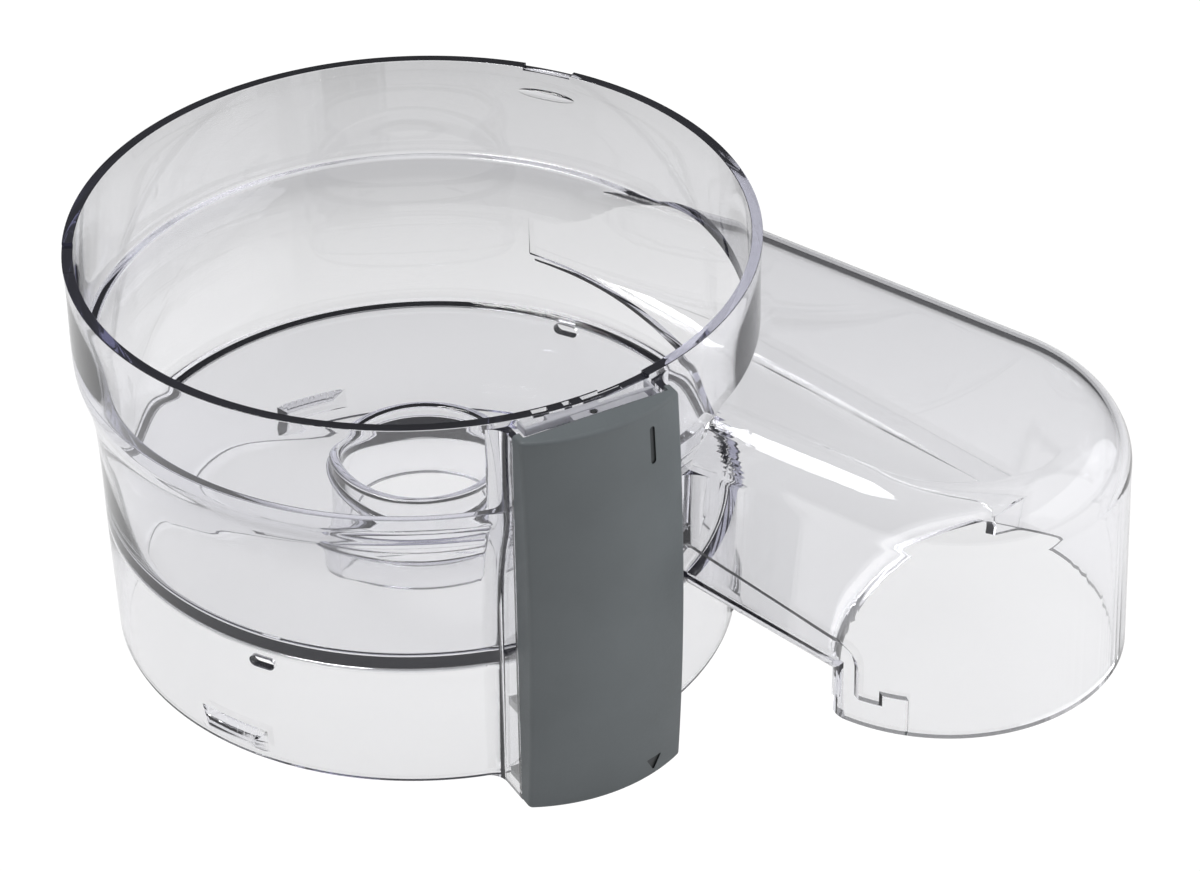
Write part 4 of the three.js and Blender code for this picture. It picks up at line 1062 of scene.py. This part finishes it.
def note_marks(cover):
    """Writes 1 into an attribute at the points on the bar's and the triangle's sunk faces: painted shade."""
    place = np.empty(len(cover.data.vertices) * 3)
    cover.data.vertices.foreach_get("co", place)
    out, across, z = spun((place.reshape(-1, 3) - AXIS) / MM, -HANDLE_AZIMUTH).T
    across = across - HANDLE_SHIFT
    depth = arch_centre(z) + np.sqrt(COVER_RADIUS**2 - across**2) - out
    bar_top = COVER_TOP - BAR_DROP
    sunk = (np.abs(across - BAR_OFFSET) < ARROW_WIDTH / 2 + GAP) & (z < bar_top + GAP)
    sunk &= (depth > MARK_DEPTH / 2) & (depth < 2 * MARK_DEPTH)
    sunk &= (z < ARROW_TOP + GAP) | (z > bar_top - BAR_HEIGHT - GAP)
    mask = cover.data.attributes.new("sunk", "FLOAT", "POINT")
    mask.data.foreach_set("value", sunk.astype(float))
    print("sunk points", int(sunk.sum()))


def add_cover():
    cover = cover_space("handle_cover_grey", 0, COVER_FOOT, COVER_TOP, COVER_BACK, COVER_EDGE)
    hollow = cover_space("hollow", COVER_WALL, -OVERRUN, COVER_TOP - LIP_THICKNESS, COVER_BACK - OVERRUN)
    side, low = COVER_HALF - COVER_WALL, COVER_TOP - LIP_THICKNESS - OVERRUN
    back = box((COVER_BACK - OVERRUN, -side, low), (COVER_LIP, side, COVER_TOP + OVERRUN))
    combine(cover, [hollow, on_handle("back", back)], "DIFFERENCE")
    combine(cover, inner_fittings(), "UNION")
    combine(cover, [marks()], "DIFFERENCE")
    note_marks(cover)
    return finish_piece(cover, "handle_cover")


add_cover()

# %% [markdown]
# ## Inside the handle
#
# A push rod runs down the handle. The slider's wedge pushes its head, a coil spring lifts it again, and a
# washer and a clip hold the spring. The turned pieces are profiles; the spring is a round wire on a helix.

# %% Sizes of the rod and what sits on it
ROD_RADIUS, GROOVE, ROD_SIDES = 2.5, 0.6, 64
FOOT_RADIUS, FOOT_LIFT, FOOT_HEIGHT, FOOT_WALL = 3.5, 7.6, 9, 1.6
SPRING_FOOT, SPRING_HEIGHT, SPRING_WIRE, SPRING_RADIUS, SPRING_CURLS = 29.3, 28.4, 0.9, 4, 9
WASHER_RADIUS, WASHER_THICKNESS = 4.6, 0.8
CLIP_RADIUS, CLIP_THICKNESS, CLIP_MOUTH = 4.4, 0.8, 3.2
HEAD_RADIUS, HEAD_HEIGHT, HEAD_SLOT = 2.5, 1.2, 0.6
PEG_RADIUS, PEG_HEIGHT = 0.9, 4.4
WASHER_FOOT = SPRING_FOOT + SPRING_HEIGHT + GAP
CLIP_FOOT = WASHER_FOOT + WASHER_THICKNESS + GAP
STROKE, RATIO = 6, 0.75
SOFT_CORNER, FOOT_CORNER = 0.15, 0.4


def lathe(name, points, node="interlock_rod", radius=SOFT_CORNER):
    """A profile turned about the upright axis of a round node, with its corners a little round."""
    low, high = np.array(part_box(node))
    centre = ((low + high) / 2 - AXIS)[:2] / MM
    corners = soft(points, radius)
    corners[corners[:, 0] < 2 * TINY, 2] = 0
    return turned(name, rounded(corners, 3), ROD_SIDES, centre)


def add_rod():
    """The rod's shaft with the clip's groove and a bevelled head, cut along the head's own facets."""
    low, top = FOOT_LIFT + FOOT_WALL + GAP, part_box("interlock_rod")[1][2] / MM
    tip, neck = FOOT_RADIUS - FOOT_WALL - GAP, ROD_RADIUS - GROOVE
    groove = (CLIP_FOOT - GAP / 2, CLIP_FOOT + CLIP_THICKNESS + GAP / 2)
    shoulder = FOOT_LIFT + FOOT_HEIGHT + GAP
    points = [(TINY, low), (tip, low), (tip, shoulder), (ROD_RADIUS, shoulder), (ROD_RADIUS, groove[0])]
    points += [(neck, groove[0]), (neck, groove[1]), (ROD_RADIUS, groove[1]), (ROD_RADIUS, top), (TINY, top)]
    rod = lathe("push_rod", points)
    over, peak = 1.5 * ROD_RADIUS, top + 2 * OVERRUN
    left, right = top + RATIO * (over - ROD_RADIUS), top - RATIO * (over + ROD_RADIUS)
    side = [(-over, left), (over, right), (over, peak), (-over, peak)]
    bevel = on_handle("bevel", along_x(side, ROD_REACH - over, ROD_REACH + over))
    return finish_piece(combine(rod, [bevel], "DIFFERENCE"), "interlock_rod")


add_rod()

# %% Foot, washer, clip, peg and screws
bore, foot_top = FOOT_RADIUS - FOOT_WALL, FOOT_LIFT + FOOT_HEIGHT
cup = [(TINY, FOOT_LIFT), (FOOT_RADIUS, FOOT_LIFT), (FOOT_RADIUS, foot_top), (bore, foot_top)]
cup += [(bore, FOOT_LIFT + FOOT_WALL), (TINY, FOOT_LIFT + FOOT_WALL)]
finish_piece(lathe("rod_foot_rubber", cup, radius=FOOT_CORNER), "rod_foot")


def ring_of(name, hole, radius, low, thickness):
    return lathe(name, oblong(hole, low, radius, low + thickness))


washer = ring_of("washer_steel", ROD_RADIUS + GAP, WASHER_RADIUS, WASHER_FOOT, WASHER_THICKNESS)
finish_piece(washer, "spring_washer")
clip = ring_of("clip_steel", ROD_RADIUS - GROOVE + GAP, CLIP_RADIUS, CLIP_FOOT, CLIP_THICKNESS)
low, high = CLIP_FOOT - OVERRUN, CLIP_FOOT + CLIP_THICKNESS + OVERRUN
mouth = box((ROD_REACH, -CLIP_MOUTH / 2, low), (ROD_REACH + CLIP_RADIUS + OVERRUN, CLIP_MOUTH / 2, high))
finish_piece(combine(clip, [on_handle("clip_mouth", mouth)], "DIFFERENCE"), "rod_clip")
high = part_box("slider_peg")[1][2] / MM
peg = lathe("peg_dark", oblong(TINY, high - PEG_HEIGHT, PEG_RADIUS, high), "slider_peg")
finish_piece(peg, "slider_peg")


def add_screw(node, y):
    """A screw through the cap, head down, with a slot across its head."""
    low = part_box(node)[0][2] / MM
    seat, reach = low + HEAD_HEIGHT, HEAD_RADIUS + OVERRUN
    profile = [(TINY, low), (HEAD_RADIUS, low), (HEAD_RADIUS, seat), (SCREW_RADIUS, seat)]
    profile += [(SCREW_RADIUS, seat + SCREW_LENGTH), (TINY, seat + SCREW_LENGTH)]
    start, end = (BOSS_REACH - reach, y - HEAD_SLOT / 2), (BOSS_REACH + reach, y + HEAD_SLOT / 2)
    slot = on_handle("slot", box((*start, low - OVERRUN), (*end, low + HEAD_HEIGHT / 2)))
    return finish_piece(combine(lathe(f"{node}_steel", profile, node), [slot], "DIFFERENCE"), node)


add_screw("cap_screw_left", -BOSS_OFFSET)
add_screw("cap_screw_right", BOSS_OFFSET)


# %% Spring
def coil(name, steps=720, around=16):
    """A round wire on a helix: centre R cos a, R sin a at a height that climbs evenly with a. The wire's
    circle leans on the outward direction and on the upright one."""
    turns = np.linspace(0, SPRING_CURLS, steps + 1)[:, None]
    angle, ring = 2 * np.pi * turns, 2 * np.pi * np.arange(around) / around
    half, climb = SPRING_WIRE / 2, (SPRING_HEIGHT - SPRING_WIRE) / SPRING_CURLS
    reach = SPRING_RADIUS + half * np.cos(ring)
    height = SPRING_FOOT + half + climb * turns + half * np.sin(ring)
    grid = np.stack([ROD_REACH + reach * np.cos(angle), reach * np.sin(angle), height], -1)
    return on_handle(name, grid[:, ::-1])


spring = finish_piece(coil("spring_wire"), "rod_spring")
rod_place = spun([(ROD_REACH, 0, 0)], HANDLE_AZIMUTH, HANDLE_SHIFT)[0] * MM + AXIS
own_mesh(spring)


# %% [markdown]
# The top plate, the slider, the cap and the two guides are flat mouldings that the model already holds.
# They are copied, and only their edges are broken.


# %% Flat mouldings with broken edges
def softened(name, node, width):
    """The model's own moulding with its corners taken off: every edge sharper than 30 degrees is bevelled."""
    mesh = nodes[node].data.copy()
    mesh.transform(nodes[node].matrix_world)
    shape = bmesh.new()
    shape.from_mesh(mesh)
    bmesh.ops.remove_doubles(shape, verts=shape.verts, dist=0.01 * MM)
    bmesh.ops.dissolve_limit(shape, angle_limit=0.02, verts=shape.verts, edges=shape.edges)
    shape.to_mesh(mesh)
    shape.free()
    made = add_object(name, mesh)
    bevel = made.modifiers.new("bevel", "BEVEL")
    bevel.width = width * MM
    bevel.segments = 2
    bevel.limit_method = "ANGLE"
    return finish_piece(made, node)


SOFT_EDGES = {"handle_top_plate": 0.3, "interlock_slider": 0.3, "handle_base_cap": 0.3}
SOFT_EDGES |= {"rod_guide_upper": 0.25, "rod_guide_lower": 0.25}
for node, width in SOFT_EDGES.items():
    softened(f"{node}_moulding", node, width)

# %% [markdown]
# ## Floor, backdrop and light
#
# The object stands on a pale sheet, which the camera sees as plain white, as in the photograph. A reflection
# or a ray through the plastic sees mostly a glow, dimmer on the far side, and for the rest lit paper.

# %% Floor and world
# The floor's size is in metres. It lies FLOOR_DROP millimetres under the skirt. AWAY points from the camera
# to the far side.
FLOOR_SIZE = 6.0
FLOOR_DROP = 0.5
AWAY = (-0.614, 0.789, 0)
GLOW_BY_BOWL, GLOW_FALL, GLOW_LEAST = 1.11, 1.87, 0.5
GLOW_SHARE, SEEN_WHITE = 0.75, 1.05
SKY_LEAST, SKY_RISE = 0.04, 0.28


def ray_of(root, *kinds):
    """1 for rays of these kinds, else 0."""
    seen = [root.node("LightPath", output=kind) for kind in kinds]
    return sum(seen[1:], seen[0]).capped()


def add_floor():
    """A large sheet. Its glow is GLOW_BY_BOWL - GLOW_FALL s, kept between GLOW_LEAST and 1, with s in metres
    from the bowl's axis away from the camera."""
    half = FLOOR_SIZE / 2
    mesh = bpy.data.meshes.new("floor")
    corners = [(-half, -half, 0), (half, -half, 0), (half, half, 0), (-half, half, 0)]
    mesh.from_pydata(corners, [], [(0, 1, 2, 3)])
    floor = add_object("floor", mesh)
    material = bpy.data.materials.new("pale_sheet")
    output, root = empty_tree(material)
    place = root.node("TexCoord", output="Object")
    across = root.node("VectorMath", {0: place, 1: AWAY}, {"operation": "DOT_PRODUCT"}, "Value")
    falling = GLOW_BY_BOWL - GLOW_FALL * (across - float(np.dot(AWAY, AXIS)))
    brightness = root.node("Clamp", {"Value": falling, "Min": GLOW_LEAST, "Max": 1.0})
    paper = root.node("BsdfDiffuse", {"Color": (0.9, 0.9, 0.9, 1)})
    glow = root.node("Emission", {"Color": brightness, "Strength": 1.0})
    plain = root.node("Emission", {"Strength": SEEN_WHITE})
    share = ray_of(root, "Is Glossy Ray", "Is Transmission Ray") * GLOW_SHARE
    mix = root.node("MixShader", {0: share, 1: paper, 2: glow})
    root.node("MixShader", {0: ray_of(root, "Is Camera Ray"), 1: mix, 2: plain}).into(output, "Surface")
    mesh.materials.append(material)
    floor.location.z = -FLOOR_DROP * MM
    return floor


def add_world():
    """A dim room, a little brighter overhead, that the camera sees as white."""
    world = bpy.data.worlds.new("studio")
    bpy.context.scene.world = world
    output, root = empty_tree(world, "ShaderNodeOutputWorld")
    height = root.node("SeparateXYZ", {0: root.node("TexCoord", output="Generated")}, output="Z")
    sky = {0: (0.97, 0.98, 1.0), "Scale": height.capped() * SKY_RISE + SKY_LEAST}
    tint = root.node("VectorMath", sky, {"operation": "SCALE"})
    room = root.node("Background", {"Color": tint, "Strength": 1.0})
    seen = root.node("Background", {"Color": (1, 1, 1, 1), "Strength": 1.0})
    camera_ray = root.node("LightPath", output="Is Camera Ray")
    root.node("MixShader", {0: camera_ray, 1: room, 2: seen}).into(output, "Surface")


add_floor()
add_world()


# %% [markdown]
# Two softboxes stand to the right of the view. Glossy faces don't mirror them, because the chute's round end
# would show a white patch. A weak fill on the left and a small lamp overhead are mirrored.


# %% Lamps
def add_area(name, place, size, power, mirrored=True):
    """A rectangular softbox aimed at the bowl's middle. Glossy faces mirror it unless mirrored is off."""
    data = bpy.data.lights.new(name, "AREA")
    data.shape = "RECTANGLE"
    data.size, data.size_y = size
    data.energy = power
    lamp = add_object(name, data)
    lamp.visible_glossy = mirrored
    aim = Vector(AXIS) + Vector((0, 0, BOWL_HEIGHT * MM / 2))
    place = aim + Vector(place)
    direction = (aim - place).normalized()
    facing = direction.to_track_quat("-Z", "Y").to_matrix()
    lamp.matrix_world = Matrix.Translation(place) @ facing.to_4x4()
    print(name, "lamp", power, "W")


add_area("key", (1.0, 0.8, 0.9), (1.8, 1.8), 8, mirrored=False)
add_area("side", (1.1, 0.75, 0.45), (2.0, 1.0), 11, mirrored=False)
add_area("fill", (-1.1, -0.9, 1.0), (1.0, 1.0), 2)
add_area("roof_band", (-0.39, -0.30, 1.40), (0.5, 0.5), 10)
bpy.context.scene.view_settings.view_transform = "Standard"
